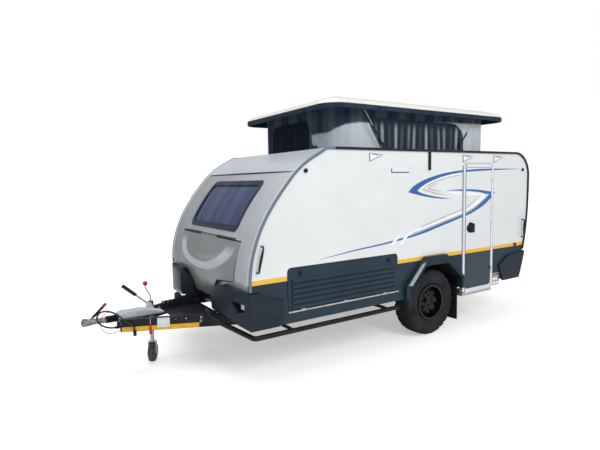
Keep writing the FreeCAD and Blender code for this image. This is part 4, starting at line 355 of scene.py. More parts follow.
def tyre(side, label):
    """A ring of the tyre's half section: corner-cut section points, lifted along their own normal by the height of
    the blocks, which is a product of smooth steps across the tread and in the phase round the wheel."""
    half = np.array([(0.084, 0.203), (0.100, 0.209), (0.115, 0.240), (0.1195, 0.290), (0.1165, 0.335), (0.108, 0.364),
                     (0.088, 0.3775), (0.045, 0.3812), (0.0, 0.3818)])
    line = np.vstack([half * (-1, 1), half[-2::-1]])
    for _ in range(4):
        cut = np.stack([0.75 * line[:-1] + 0.25 * line[1:], 0.25 * line[:-1] + 0.75 * line[1:]], 1).reshape(-1, 2)
        line = np.vstack([line[:1], cut, line[-1:]])
    line = respaced(line, 96)[0]
    along = np.gradient(line, axis=0)
    out = np.stack([-along[:, 1], along[:, 0]], 1) / np.hypot(*along.T)[:, None]
    turn = np.linspace(0.0, 2.0 * math.pi, block_count * 18, endpoint=False)[:, None]
    phase = turn * block_count / (2.0 * math.pi)
    across, rise = line.T
    inset = np.abs(across)
    stagger = 0.5 * (across > 0)
    middle = np.mod(phase + 9.0 * across + stagger, 1.0)
    middle_block = step_up(middle, 0.0, 0.08) * (1.0 - step_up(middle, 0.74, 0.82))
    middle_block = middle_block * step_up(inset, 0.003, 0.007) * (1.0 - step_up(inset, 0.050, 0.055))
    sipe = 1.0 - 0.6 * (np.abs(middle - 0.42) < 0.03)
    later = phase + 0.25 + stagger
    edge = np.mod(later, 1.0)
    edge_block = step_up(edge, 0.0, 0.07) * (1.0 - step_up(edge, 0.62, 0.70))
    foot = 0.330 + 0.016 * np.mod(np.floor(later), 2.0)
    edge_block = edge_block * step_up(inset, 0.060, 0.065) * step_up(rise, foot, foot + 0.008)
    rib = 0.0016 * np.exp(-((rise - 0.300) / 0.003) ** 2)
    height = block_height * np.maximum(middle_block * sipe, edge_block) + rib
    y = side * (wheel_y + across + out[:, 0] * height)
    radius = np.minimum(rise + out[:, 1] * height, tyre_reach)
    grid = np.stack([wheel_x + radius * np.sin(turn), y, wheel_z + radius * np.cos(turn)], -1)
    piece = surface(f"tyre_tread_{label}", grid if side > 0 else grid[::-1], tyre_rubber, f"wheel_{label}", wrap=True)
    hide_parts(f"tyre_{label}")


for side, label in sides:
    tyre(side, label)

# The floor is a sheet of plywood laid on the chassis, seen through the open door and lockers. Its grain is the noise
# drawn out along the trailer.
dress(finish("floor_board", (176, 148, 112), (140, 112, 80), (0.5, 0.7), 0.0004, drift=3.0, stretch=(1.0, 14.0, 14.0)),
      "floor")

# The side walls are glass-fibre sheets in gloss off-white, with a band of yellow vinyl along their foot on the outer
# faces. The rear wall and the lamps in the front mouldings have the same white.
wall_face = 1.020
stripe_yellow = (236, 182, 12)
stripe = ("Z", 0.9195, 0.962)
wall_white = finish("wall_white", (226, 230, 230), (220, 224, 225), (0.16, 0.26), 0.0001, coat=0.5)
dress(banded(wall_white, (stripe_yellow, stripe, ("Y", -1.03, -1.0185)), (stripe_yellow, stripe, ("Y", 1.0185, 1.03))),
      "side_walls")
dress(finish("body_white", (226, 230, 230), (220, 224, 225), (0.16, 0.26), 0.0001, coat=0.5), "rear_wall",
      "corner_lamps")

# The door is white above the stripe and slate below it. It stands in a white aluminium frame with a dark seal round
# the leaf and a thin grey line round the outside.
door_face = 1.034
door_front, door_rear = 1.412, 1.898
frame_front, frame_rear = 1.358, 1.952
door_paint = finish("door_paint", (222, 226, 226), (217, 221, 222), (0.2, 0.3), 0.0001, coat=0.15, specular=0.3)
dress(banded(door_paint, (stripe_yellow, stripe), ((40, 60, 71), ("Z", 0.0, stripe[1]))), "entry_door")
door_band = finish("door_band", (228, 231, 236), (214, 218, 225), (0.2, 0.34), 0.0001, coat=0.2)
seal_grey = (92, 98, 122)
line_grey = (150, 156, 178)
dress(banded(door_band, (seal_grey, ("X", 1.397, 1.4115)), (seal_grey, ("X", 1.8985, 1.906)),
             (line_grey, ("X", 1.36, 1.95), ("Z", 1.9985, 2.006)), (line_grey, ("X", 1.359, 1.3655)),
             (line_grey, ("X", 1.9445, 1.951))), "door_frame")

# The lower skirts and the louvred hatch are painted slate blue-grey, and the corner mouldings are plastic coloured
# right through in a darker slate.
dress(finish("slate_paint", (41, 58, 70), (34, 51, 63), (0.28, 0.42), 0.0001, specular=0.2), "skirts", "locker_hatch")
dress(finish("moulding_slate", (28, 40, 52), (21, 31, 42), (0.26, 0.4), 0.0002, specular=0.25),
      "corner_mouldings_front", "corner_mouldings_rear")

# The nose is moulded in one with its window recess and sprayed silver; below the locker lid it is dark slate. Painted
# sunlight brightens the silver on the door side and painted shade dulls it on the far side. The lid is sprayed the same
# way, darker all over with painted shade, with a painted highlight in a crescent on it.
nose_silver = finish("nose_silver", (172, 178, 183), (160, 166, 171), (0.26, 0.38), 0.00012, metallic=0.25, coat=0.3)
lid_silver = finish("lid_silver", (172, 177, 180), (160, 165, 168), (0.26, 0.38), 0.00012, metallic=0.25, coat=0.3)
nose_half = 0.95


def painted_sun_gradient(material, near, far):
    """nose: painted light, brighter on the door side where the sun falls, and painted shade on the far side."""
    tree = material.node_tree
    shader = tree.nodes["Principled BSDF"]
    across = wire(tree, "SeparateXYZ", "Y", {"Vector": wire(tree, "TexCoord", "Object")})
    fade = wire(tree, "MapRange", "Result", {"From Min": -nose_half, "From Max": nose_half, "To Min": near,
                                             "To Max": far, "Value": across})
    before = shader.inputs["Base Color"].links[0].from_socket
    feed(tree, shader, {"Base Color": wire(tree, "VectorMath", "Vector", {0: before, "Scale": fade},
                                           operation="SCALE")})


painted_sun_gradient(nose_silver, 1.30, 0.72)
dress(banded(nose_silver, ((24, 34, 46), ("X", -2.0, -0.6), ("Z", 0.40, 0.657))), "nose_shell")
painted_sun_gradient(lid_silver, 0.74, 0.46)


def painted_crescent_highlight(material):
    """A painted highlight in a U on the lid: r is the distance from (y, z) = (0.04, 1.235) with y over 0.63 and z over
    0.255. A curve through r from 0.80 to 1.18 mixes in the paler silver of the highlight, and fades out from z 1.15 up
    to z 1.235."""
    middle_y, middle_z, half_wide, half_high = 0.04, 1.235, 0.63, 0.255
    tree = material.node_tree
    place = wire(tree, "TexCoord", "Object")
    run = wire(tree, "Mapping", "Vector", {"Scale": (0.0, 1.0 / half_wide, 1.0 / half_high), "Vector": place,
                                           "Location": (0.0, -middle_y / half_wide, -middle_z / half_high)})
    reach = wire(tree, "VectorMath", "Value", {0: run}, operation="LENGTH")
    half = wire(tree, "Math", 0, {0: reach, 1: 0.5}, operation="MULTIPLY")
    crest = wire(tree, "FloatCurve", "Value", {"Value": half})
    points = crest.node.mapping.curves[0].points
    for share, level in ((0.40, 0.0), (0.43, 0.9), (0.47, 1.0), (0.555, 0.9), (0.59, 0.0)):
        points.new(share, level)
    points[0].location = (0.0, 0.0)
    points[len(points) - 1].location = (1.0, 0.0)
    crest.node.mapping.update()
    height = wire(tree, "SeparateXYZ", "Z", {"Vector": place})
    low = wire(tree, "MapRange", "Result", {"From Min": middle_z, "From Max": 1.15, "Value": height})
    shown = wire(tree, "Math", 0, {0: crest, 1: low}, operation="MULTIPLY")
    return repaint(material, shown, (196, 204, 209))


dress(painted_crescent_highlight(lid_silver), "front_locker_lid")

# Wheel boxes, side fittings, handles and catches are black plastic, the window's frame navy. The edge trims are soft
# rubber, paler where they round the nose, and the flares are slate plastic.
trim_black = finish("trim_black", (26, 32, 42), (17, 21, 29), (0.38, 0.55), 0.0004, drift=7.0, grain=300.0,
                    specular=0.25)
dress(finish("frame_navy", (20, 36, 64), (12, 26, 50), (0.3, 0.45), 0.0003, drift=7.0, grain=300.0, specular=0.25),
      "front_window_frame")
dress(trim_black, "wheel_boxes", "side_fittings", "door_handle", "hatch_catches")
edge_trim = finish("edge_trim", (30, 40, 54), (20, 28, 40), (0.3, 0.45), 0.0002, drift=12.0, specular=0.3)
dress(banded(edge_trim, ((104, 120, 138), ("X", -1.60, -0.55))), "edge_trims")
dress(finish("flare_slate", (36, 51, 62), (28, 42, 52), (0.34, 0.5), 0.0003, drift=7.0, grain=300.0, specular=0.2),
      "arch_flares")

# The hatch's rail, the step, the side guard and the struts' rods are brushed aluminium, the lid's hinges coated
# black.
dress(finish("brushed_aluminium", (196, 199, 201), (168, 171, 174), (0.25, 0.42), 0.0002, metallic=0.7, drift=20.0),
      "hatch_rail", "entry_step", "side_guard", "strut_rod_front_left", "strut_rod_front_right", "strut_rod_rear_left",
      "strut_rod_rear_right")
hinge_black = finish("hinge_black", (28, 34, 44), (20, 24, 32), (0.35, 0.5), 0.0002, drift=20.0, specular=0.25)
dress(hinge_black, "lid_hinges")

# The window is a tinted acrylic pane, and behind it hangs a gathered curtain in violet blue. The curtain is a grid on
# a quadratic fitted to the CAD blind's lean, with uneven pleats, and takes the blind's place.
pane, pane_tree, pane_shader = new_material("tinted_pane")
feed(pane_tree, pane_shader, {"Base Color": srgb((26, 52, 88)), "Roughness": 0.05, "Alpha": 0.32, "Coat Weight": 0.4,
                              "Specular IOR Level": 0.3})
dress(pane, "front_window_glass")


def cloth(name, lit_colour, shaded_colour, weave, sheen):
    """Woven cloth: the 'pleat' attribute holds painted light and shade and mixes the shaded colour with the lit one, a
    slow noise fades it by up to a tenth, and two crossed waves of `weave` threads a metre give the bump."""
    material, tree, shader = new_material(name)
    pleat = wire(tree, "Attribute", "Fac", attribute_name="pleat")
    tint = wire(tree, "Mix", "Result", {"A": srgb(shaded_colour), "B": srgb(lit_colour), "Factor": pleat}, data_type="RGBA")
    place = wire(tree, "TexCoord", "Object")
    fade = wire(tree, "TexNoise", "Fac", {"Scale": 9.0, "Detail": 5.0, "Vector": place})
    level = wire(tree, "MapRange", "Result", {"To Min": 0.88, "To Max": 1.08, "Value": fade})
    worn = wire(tree, "Mix", "Result", {"Factor": 1.0, "A": tint, "B": level}, data_type="RGBA", blend_type="MULTIPLY")
    threads = [wire(tree, "TexWave", "Fac", {"Scale": weave, "Vector": place}, bands_direction=axis)
               for axis in ("DIAGONAL", "Z")]
    crossed = wire(tree, "Math", 0, dict(enumerate(threads)), operation="MULTIPLY")
    relief = wire(tree, "Bump", "Normal", {"Distance": 0.0004, "Height": crossed})
    dull = wire(tree, "MapRange", "Result", {"To Min": 0.75, "To Max": 0.95, "Value": fade})
    feed(tree, shader, {"Base Color": worn, "Normal": relief, "Roughness": dull, "Specular IOR Level": 0.15,
                        "Sheen Weight": sheen, "Sheen Roughness": 0.5})
    return material


def fold_wave(along, pitch, wander, seed):
    """An uneven pleat between -1 and 1: a sine of that pitch whose phase wanders by slower sines of a seeded start."""
    start = np.random.default_rng(seed).uniform(0.0, 6.28, 3)
    drift = wander * (np.sin(along / (pitch * 4.3) + start[0]) + 0.6 * np.sin(along / (pitch * 1.9) + start[1]))
    return np.sin(2.0 * math.pi * along / pitch + drift + start[2])


def give_painted_light(piece, values):
    """Stores one number a point for the cloth's painted light: 0 gives the shaded colour and 1 the lit one."""
    layer = piece.data.attributes.new("pleat", "FLOAT", "POINT")
    layer.data.foreach_set("value", np.clip(values, 0.0, 1.0).astype(np.float32).ravel())


blind_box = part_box("window_blind")
blind_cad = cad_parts["window_blind"].data
places = np.empty(len(blind_cad.vertices) * 3)
blind_cad.vertices.foreach_get("co", places)
places = places.reshape(-1, 3)
blind_across, blind_up = np.meshgrid(np.linspace(blind_box[0][1] + 0.01, blind_box[1][1] - 0.01, 420),
                                     np.linspace(blind_box[0][2] + 0.004, blind_box[1][2] - 0.004, 40), indexing="ij")
levels = np.linspace(blind_box[0][2], blind_box[1][2], 12)
lean = np.array([places[np.abs(places[:, 2] - level) < 0.05][:, 0].mean() for level in levels])
lean = np.polyval(np.polyfit(levels, lean, 2), blind_up)
gather = fold_wave(blind_across + 0.02 * (blind_up - blind_up.min()) * np.sin(blind_across * 9.0), 0.036, 1.3, 3)
blind_grid = np.stack([lean + 0.003 + 0.0035 * gather, blind_across, blind_up], -1)
curtain_cloth = cloth("curtain_cloth", (140, 156, 206), (70, 88, 136), 700.0, 0.05)
front_curtain = surface("front_curtain", blind_grid[::-1], curtain_cloth, "trailer")
# The curtain's colour is paler on its pleats' ridges and darker in their valleys: painted highlight and painted shade.
give_painted_light(front_curtain, 0.5 - 0.5 * gather)
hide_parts("window_blind")

# Blue strokes of cut vinyl sweep back over each side from a tip ahead of the door, with thin warm grey lines and a
# white band inside them. On the door's side they are cut at the frame and carried on over the door itself.
stroke_blue = finish("stroke_blue", (40, 104, 178), (32, 88, 158), (0.2, 0.32), 0.0001, coat=0.4)
stroke_grey = finish("stroke_grey", (168, 152, 146), (150, 134, 128), (0.3, 0.4), 0.0001)
stroke_white = finish("stroke_white", (244, 246, 247), (238, 241, 243), (0.2, 0.3), 0.0001, coat=0.4)


def smooth_line(points, count=240):
    """Catmull-Rom curve through the points: each span blends its four nearest points by cubics of the share s."""
    points = np.array(points)
    ends = np.vstack([2 * points[0] - points[1], points, 2 * points[-1] - points[-2]])
    place = np.linspace(0.0, len(points) - 1.0, count)
    span = np.minimum(place.astype(int), len(points) - 2)
    s = (place - span)[:, None]
    a, b, c, d = (ends[span + k] for k in range(4))
    return 0.5 * (2 * b + (c - a) * s + (2 * a - 5 * b + 4 * c - d) * s * s + (3 * b - a - 3 * c + d) * s ** 3)


def thin(points, half=0.0035):
    """A line of the given half width as an upper and a lower edge, drawn out to nothing at its last point."""
    last = len(points) - 1
    wide = [half * (1.0 if number < last else 0.2) for number in range(last + 1)]
    return ([(x, z + w) for (x, z), w in zip(points, wide)], [(x, z - w) for (x, z), w in zip(points, wide)])


strokes = {
    "white_upper": (stroke_white,
                    [(0.600, 1.701), (0.657, 1.738), (0.773, 1.785), (0.930, 1.830), (1.101, 1.863), (1.300, 1.888)],
                    [(0.600, 1.690), (0.690, 1.722), (0.783, 1.772), (0.930, 1.813), (1.101, 1.846), (1.300, 1.872)]),
    "white_middle": (stroke_white,
                     [(1.070, 1.678), (1.250, 1.670), (1.450, 1.662), (1.680, 1.640), (1.780, 1.612)],
                     [(1.070, 1.676), (1.250, 1.638), (1.450, 1.622), (1.600, 1.618), (1.780, 1.602)]),
    "band": (stroke_white,
             [(0.410, 1.226), (0.607, 1.280), (0.824, 1.328), (1.089, 1.386), (1.369, 1.446), (1.556, 1.525),
              (1.705, 1.600), (1.772, 1.612)],
             [(0.410, 1.204), (0.537, 1.236), (0.751, 1.279), (1.012, 1.335), (1.288, 1.390), (1.494, 1.452),
              (1.664, 1.524), (1.772, 1.596)]),
    "upper": (stroke_blue,
              [(0.445, 1.688), (0.526, 1.749), (0.657, 1.805), (0.818, 1.849), (1.005, 1.886), (1.199, 1.911),
               (1.400, 1.926), (1.675, 1.938), (2.010, 1.941), (2.490, 1.940)],
              [(0.445, 1.688), (0.578, 1.699), (0.657, 1.744), (0.773, 1.791), (0.930, 1.836), (1.101, 1.869),
               (1.259, 1.890), (1.401, 1.902), (1.675, 1.914), (2.011, 1.924), (2.490, 1.937)]),
    "lower_tip": (stroke_blue,
                  [(0.445, 1.688), (0.578, 1.699), (0.657, 1.673), (0.784, 1.644), (0.914, 1.622), (1.047, 1.607),
                   (1.145, 1.599)],
                  [(0.445, 1.688), (0.535, 1.668), (0.676, 1.639), (0.839, 1.614), (1.009, 1.598), (1.145, 1.597)]),
    "second": (stroke_blue,
               [(1.065, 1.689), (1.202, 1.696), (1.364, 1.696), (1.488, 1.694), (1.681, 1.681), (1.871, 1.659),
                (1.997, 1.647)],
               [(1.065, 1.688), (1.202, 1.686), (1.364, 1.679), (1.489, 1.672), (1.682, 1.653), (1.804, 1.629),
                (1.900, 1.633), (1.997, 1.641)]),
    "sweep": (stroke_blue,
              [(-0.749, 1.078), (-0.326, 1.128), (0.077, 1.163), (0.467, 1.211), (0.679, 1.249), (0.899, 1.294),
               (1.129, 1.344), (1.370, 1.396), (1.536, 1.448), (1.686, 1.517), (1.794, 1.581), (1.871, 1.631),
               (1.997, 1.647)],
              [(-0.749, 1.076), (-0.326, 1.116), (0.077, 1.147), (0.399, 1.180), (0.502, 1.192), (0.715, 1.225),
               (0.937, 1.273), (1.169, 1.322), (1.412, 1.378), (1.580, 1.426), (1.752, 1.493), (1.896, 1.578),
               (1.997, 1.641)]),
    "upper_line": (stroke_grey, *thin([(0.675, 1.713), (0.783, 1.766), (0.930, 1.807), (1.082, 1.840), (1.239, 1.859),
                                       (1.340, 1.867)])),
    "lower_line": (stroke_grey, *thin([(0.675, 1.713), (0.783, 1.685), (0.913, 1.660), (1.085, 1.634)])),
    "upper_inner": (stroke_grey, *thin([(0.756, 1.717), (0.838, 1.755), (0.931, 1.778)])),
    "lower_inner": (stroke_grey, *thin([(0.756, 1.717), (0.875, 1.699), (0.998, 1.679)])),
    "sweep_line": (stroke_grey, *thin([(0.500, 1.228), (0.700, 1.264), (0.920, 1.308), (1.150, 1.358), (1.380, 1.410),
                                       (1.550, 1.463), (1.700, 1.533), (1.800, 1.597)], 0.005)),
    "band_line": (stroke_grey, *thin([(0.640, 1.293), (0.850, 1.342), (1.110, 1.402), (1.370, 1.462), (1.550, 1.545),
                                      (1.690, 1.630)])),
}


def stroke(name, material, upper, lower, face, x0, x1, body):
    """Vinyl between an upper and a lower line, flat on the plane y = face, kept between x0 and x1."""
    upper = smooth_line(upper)
    lower = smooth_line(lower)
    x = np.linspace(max(x0, upper[0, 0]), min(x1, upper[-1, 0]), 160)
    if x[-1] - x[0] < 0.004:
        return
    high = np.interp(x, upper[:, 0], upper[:, 1])
    low = np.minimum(np.interp(x, lower[:, 0], lower[:, 1]), high)
    grid = np.stack([np.stack([x, 0 * x + face, low + (high - low) * share], -1) for share in (0.0, 0.5, 1.0)], 1)
    surface(name, grid if face < 0 else grid[::-1], material, body)


def slab(name, outline, face, thick, material, body):
    """A flat plate on a side wall: the outline's (x, z) points on the plane y = face, pushed out by thick away from
    the trailer's middle, with an edge all round."""
    outline = np.array(outline)
    side = math.copysign(1.0, face)
    if side * np.sum(outline[:, 0] * np.roll(outline[:, 1], -1) - outline[:, 1] * np.roll(outline[:, 0], -1)) > 0:
        outline = outline[::-1]
    count = len(outline)
    points = [(x, y, z) for y in (face, face + side * thick) for x, z in outline]
    front = [count + k for k in range(count)]
    edges = [(k, (k + 1) % count, count + (k + 1) % count, count + k) for k in range(count)]
    piece = mesh_piece(name, points, [tuple(range(count))[::-1], tuple(front), *edges], material)
    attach(piece, body)


for number, (label, (material, upper, lower)) in enumerate(strokes.items()):
    proud = 0.0006 + 0.00015 * number
    for place, face, x0, x1, body in (("wall", -wall_face - proud, -0.8, frame_front, "trailer"),
                                      ("behind", -wall_face - proud, frame_rear, 2.6, "trailer"),
                                      ("door", -door_face - proud, door_front, door_rear, "door"),
                                      ("far", wall_face + proud, -0.8, 2.6, "trailer")):
        stroke(f"stroke_{label}_{place}", material, upper, lower, face, x0, x1, body)

# Two short white slashes of the same vinyl cut the sweep ahead of the wheel, on both sides. Each is a slanted
# four-sided patch.
for start, order in ((0.165, "first"), (0.300, "second")):
    for side, label in sides:
        slab(f"slash_{order}_{label}",
             [(start, 1.120), (start + 0.045, 1.120), (start + 0.170, 1.232), (start + 0.115, 1.232)],
             side * (wall_face + 0.0028), 0.0004, stroke_white, "trailer")

# White plastic gutter ends stand over the door and at the roof's edge, each a triangle with a grey shadow line; a
# blank pale plate with a dark foot is stuck ahead of the roof's latch. The far side has the gutter ends only.
fitting_white = finish("fitting_white", (240, 242, 243), (232, 235, 237), (0.3, 0.4), 0.0001)
fitting_grey = finish("fitting_grey", (150, 156, 164), (132, 138, 147), (0.3, 0.45), 0.0001, specular=0.3)
# The grey 'end' triangle sits behind the white face and is a little larger: it is a painted shadow round the face.
gutter = (("end", ((0.0, 2.104), (0.195, 2.088), (0.006, 2.010)), 0.0007, 0.0030, fitting_grey),
          ("face", ((0.012, 2.096), (0.160, 2.085), (0.016, 2.026)), 0.0038, 0.0030, fitting_white),
          ("slot", ((0.035, 2.094), (0.125, 2.088), (0.125, 2.078), (0.035, 2.084)), 0.0069, 0.0006, fitting_grey))
for side, label in sides:
    for number, start in enumerate((-0.115, 1.351, 1.950)):
        for part, outline, out, thick, material in gutter:
            slab(f"gutter_{part}_{number}_{label}", [(start + x, z) for x, z in outline], side * (wall_face + out),
                 thick, material, "trailer")
plate_pale = finish("plate_pale", (228, 230, 246), (220, 222, 240), (0.25, 0.4), 0.0001)
for label, x0, x1, z0, z1, thick, material in (("plate", 0.204, 0.456, 1.908, 1.947, 0.0020, plate_pale),
                                               ("plate_foot", 0.201, 0.457, 1.900, 1.909, 0.0026, trim_black),
                                               ("plate_end", 0.196, 0.205, 1.900, 1.947, 0.0026, trim_black)):
    slab(f"blank_{label}", [(x0, z0), (x1, z0), (x1, z1), (x0, z1)], -wall_face - 0.0007, thick, material, "trailer")

# A moulded D-shaped backplate seats the door's handle and rides with the door. Its outline is a short straight rear
# edge and half an ellipse.
turn = np.linspace(-0.5 * math.pi, 0.5 * math.pi, 16)
handle_front = [(1.500 - 0.072 * math.cos(k), 1.225 + 0.056 * math.sin(k)) for k in turn[::-1]]
slab("handle_plate", [(1.560, 1.165), (1.578, 1.175), (1.576, 1.270), (1.556, 1.282), *handle_front],
     -door_face - 0.0006, 0.006, trim_black, "door")

# The flare's front slope is pale silver on its outer edge. The pale patch is a thin one laid on the flare's flat side.
flare_face = 1.0652
flare_pale = finish("flare_pale", (158, 172, 180), (132, 147, 156), (0.3, 0.45), 0.0002, drift=26.0, specular=0.3)
for side, label in sides:
    slab(f"flare_pale_patch_{label}", [(0.416, 0.668), (0.476, 0.655), (0.668, 0.868), (0.690, 0.902), (0.622, 0.880)],
         side * flare_face, 0.0006, flare_pale, "trailer")


# Rubber sleeves are pushed over the straight runs of the side handles. Each is a tube between two points, its axis
# just inside the handle's so that it stays in the trailer's width.
def sweep(name, path, radii, guide, count, material, body):
    """A tube: round each point of the path a ring of that radius, on two axes square to the path, the first from the
    product of the path's tangent and the guide."""
    along = np.gradient(path, axis=0)
    along /= np.linalg.norm(along, axis=1)[:, None]
    across = np.cross(along, guide)
    across /= np.linalg.norm(across, axis=1)[:, None]
    turn = np.linspace(0.0, 2.0 * math.pi, count, endpoint=False)[:, None, None]
    grid = path + radii[:, None] * (np.cos(turn) * across + np.sin(turn) * np.cross(along, across))
    surface(name, grid[::-1], material, body, wrap=True)


def swell(count, power):
    """Shares of a radius that come up from nothing and go back to it: sin(pi s)^power."""
    return np.sin(math.pi * np.clip(np.linspace(0.0, 1.0, count), 0.0005, 0.9995)) ** power


def sleeve(name, first, last, radius, material, body):
    """A capped tube between two points."""
    path = np.linspace(first, last, 24)
    guide = (0.0, 1.0, 0.0) if np.abs(path[-1] - path[0])[1] < 0.9 else (1.0, 0.0, 0.0)
    sweep(name, path, radius * swell(24, 0.3), guide, 20, material, body)


for x_top, x_low, label in ((-1.376, -1.430, "front"), (2.596, 2.596, "rear")):
    sleeve(f"grab_sleeve_{label}", (x_top, -1.0585, 1.250), (x_low, -1.0585, 1.044), 0.0117, dull_rubber, "trailer")

# Small fittings of the hitch: two hexagonal bolt heads where the sliders' root is clamped to the rail, a red handle
# with its thin screw on the jockey clamp, a red tag on the lead's holder and a tapered boot where the lead comes out.
red_plastic = finish("red_plastic", (206, 34, 40), (178, 26, 32), (0.3, 0.45), 0.0001, specular=0.4)
bolt_zinc = finish("bolt_zinc", (196, 199, 202), (162, 166, 170), (0.25, 0.4), 0.0002, metallic=0.6, drift=60.0)
rail_out = np.array([rail_splay, -1.0, 0.0]) / math.hypot(rail_splay, 1.0)


def on_rail(x, z, proud):
    """A place `proud` metres off the near rail's outer face."""
    return np.array([x, -(rail_half + (x - rail_front) * rail_splay), z]) + rail_out * proud


rail_run = np.array([-rail_out[1], rail_out[0], 0.0])
hexagon = circle(6, rail_run, (0, 0, 1))
bolt_profile = ((0.0004, 0.0001), (0.0004, 0.016), (0.0034, 0.016), (0.0035, 0.011), (0.0105, 0.011), (0.0115, 0.0095),
                (0.0116, 0.0001))
for number, (x, z) in enumerate(((-1.718, 0.538), (-1.722, 0.502))):
    rows = [on_rail(x, z, proud) + radius * hexagon for proud, radius in bolt_profile]
    bolt = surface(f"rail_bolt_{number}", np.stack(rows, 1), bolt_zinc, "trailer", wrap=True)
    bolt.data.shade_flat()

sleeve("clamp_screw", on_rail(-2.156, 0.566, 0.010), on_rail(-2.158, 0.500, 0.010), 0.004, bolt_zinc, "trailer")
sleeve("clamp_handle", on_rail(-2.158, 0.508, 0.012), on_rail(-2.161, 0.412, 0.012), 0.0095, red_plastic, "trailer")
sleeve("clamp_knob", on_rail(-2.160, 0.448, 0.014), on_rail(-2.162, 0.404, 0.014), 0.0145, red_plastic, "trailer")
sleeve("lead_tag", on_rail(-2.300, 0.482, 0.016), on_rail(-2.300, 0.452, 0.016), 0.008, red_plastic, "trailer")
boot_ring = circle(24, (0, 1, 0), (0, 0, 1))
boot_profile = ((0.0, 0.0001), (0.0, 0.0145), (0.1, 0.0150), (0.2, 0.0135), (0.3, 0.0142), (0.4, 0.0125), (0.5, 0.0131),
                (0.6, 0.0114), (0.7, 0.0120), (0.8, 0.0102), (0.97, 0.0094), (1.0, 0.0088), (1.0, 0.0001))
boot_rows = [np.array([-2.412 - 0.040 * share, -0.070, 0.489 + 0.002 * share]) + radius * boot_ring
             for share, radius in boot_profile]
surface("lead_boot", np.stack(boot_rows, 1), dull_rubber, "trailer", wrap=True)

# The coupling's handle has a red plastic grip strip along its outer end, a short tube round the CAD model's handle
# bar.
sleeve("coupling_grip", (-2.541, 0.0, 0.6845), (-2.4985, 0.0, 0.7195), 0.0128, red_plastic, "trailer")

# A black rubber seam runs across where the nose shell meets the fixed roof: one round strip, pressed into the joint
# for half of its thickness.
seam_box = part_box("nose_shell")
seam_x, seam_z = float(seam_box[1][0]), float(seam_box[1][2]) - 0.001
sleeve("roof_seam", (seam_x, -0.988, seam_z), (seam_x, 0.988, seam_z), 0.010, hinge_black, "trailer")

# A black rubber bead edges the locker lid where it arches over each front moulding. It is a round strip along the
# lid's edge, drawn in at both ends, and rides with the lid.
lid_edge = [(-1.499, 0.283, 0.672), (-1.504, 0.288, 0.695), (-1.513, 0.297, 0.734), (-1.529, 0.311, 0.794),
            (-1.536, 0.340, 0.828), (-1.541, 0.368, 0.855), (-1.545, 0.396, 0.880), (-1.545, 0.443, 0.887),
            (-1.543, 0.491, 0.892), (-1.540, 0.544, 0.896), (-1.536, 0.592, 0.901), (-1.532, 0.636, 0.905),
            (-1.524, 0.700, 0.911)]
for side, label in sides:
    path = smooth_line([(x, side * y, z) for x, y, z in lid_edge], 90)
    sweep(f"lid_bead_{label}", path, 0.0065 * swell(90, 0.2), (1.0, 0.0, 0.0), 14, hinge_black, "lid")

# A black strip fills the slot between the nose and the locker lid's hinges: painted shade standing in for the dark gap.
# It is bowed forwards by 4 mm in its middle.
hinge_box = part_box("lid_hinges")
slot_shade_y, slot_shade_part = np.meshgrid(np.linspace(-0.60, 0.735, 60), np.linspace(0.0, 1.0, 9), indexing="ij")
slot_shade_x = float(hinge_box[0][0]) + 0.006 - 0.004 * np.sin(math.pi * slot_shade_part)
slot_shade_z = float(hinge_box[0][2] + hinge_box[1][2]) / 2 - 0.007 + 0.014 * slot_shade_part
surface("lid_lip", np.stack([slot_shade_x, slot_shade_y, slot_shade_z], -1)[::-1], hinge_black, "trailer")

# The canvas is one loop of pale grey coated cloth between the fixed roof and the lifting one. The lifting roof's shadow
# is painted on it, dark over the front and the upper part of the sides down to an arc, with a faint painted shade along
# its creases. It hangs with shallow creases.
wall_box = [list(place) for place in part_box("canvas_walls")]
wall_box[0][0] -= 0.033
wall_box[1][0] += 0.042
corner = 0.23
spread = np.linspace(0.0, 0.5 * math.pi, 14)
loop = np.vstack([
    np.stack([centre_x + corner * np.cos(spread + start), centre_y + corner * np.sin(spread + start)], 1)
    for centre_x, centre_y, start in (
        (wall_box[1][0] - corner, wall_box[1][1] - corner, 0.0),
        (wall_box[0][0] + corner, wall_box[1][1] - corner, 0.5 * math.pi),
        (wall_box[0][0] + corner, wall_box[0][1] + corner, math.pi),
        (wall_box[1][0] - corner, wall_box[0][1] + corner, 1.5 * math.pi))])
loop = np.vstack([loop, loop[:1]])
ring, around, girth = respaced(loop, 900, closed=True)
along = np.roll(ring, -1, 0) - np.roll(ring, 1, 0)
out = np.stack([along[:, 1], -along[:, 0]], 1) / np.hypot(*along.T)[:, None]
height = np.linspace(wall_box[0][2] + 0.001, wall_box[1][2] - 0.001, 40)
share = (height - height[0]) / (height[-1] - height[0])
slack = np.sin(math.pi * share)[None, :]
crease = fold_wave(around, 0.31, 1.5, 11)[:, None] * 0.0030 + fold_wave(around, 0.117, 2.0, 12)[:, None] * 0.0014
lift = -0.006 + slack * crease - 0.004 * slack
canvas_grid = np.stack([
    ring[:, None, 0] + out[:, None, 0] * lift,
    ring[:, None, 1] + out[:, None, 1] * lift,
    np.broadcast_to(height, lift.shape)], -1)
# The pale grey is the cloth's own colour; the dark navy is the painted shadow of the lifting roof.
canvas_cloth = cloth("canvas_cloth", (186, 195, 201), (30, 49, 68), 420.0, 0.03)
canvas = surface("canvas_cloth_walls", canvas_grid, canvas_cloth, "trailer", wrap=True)
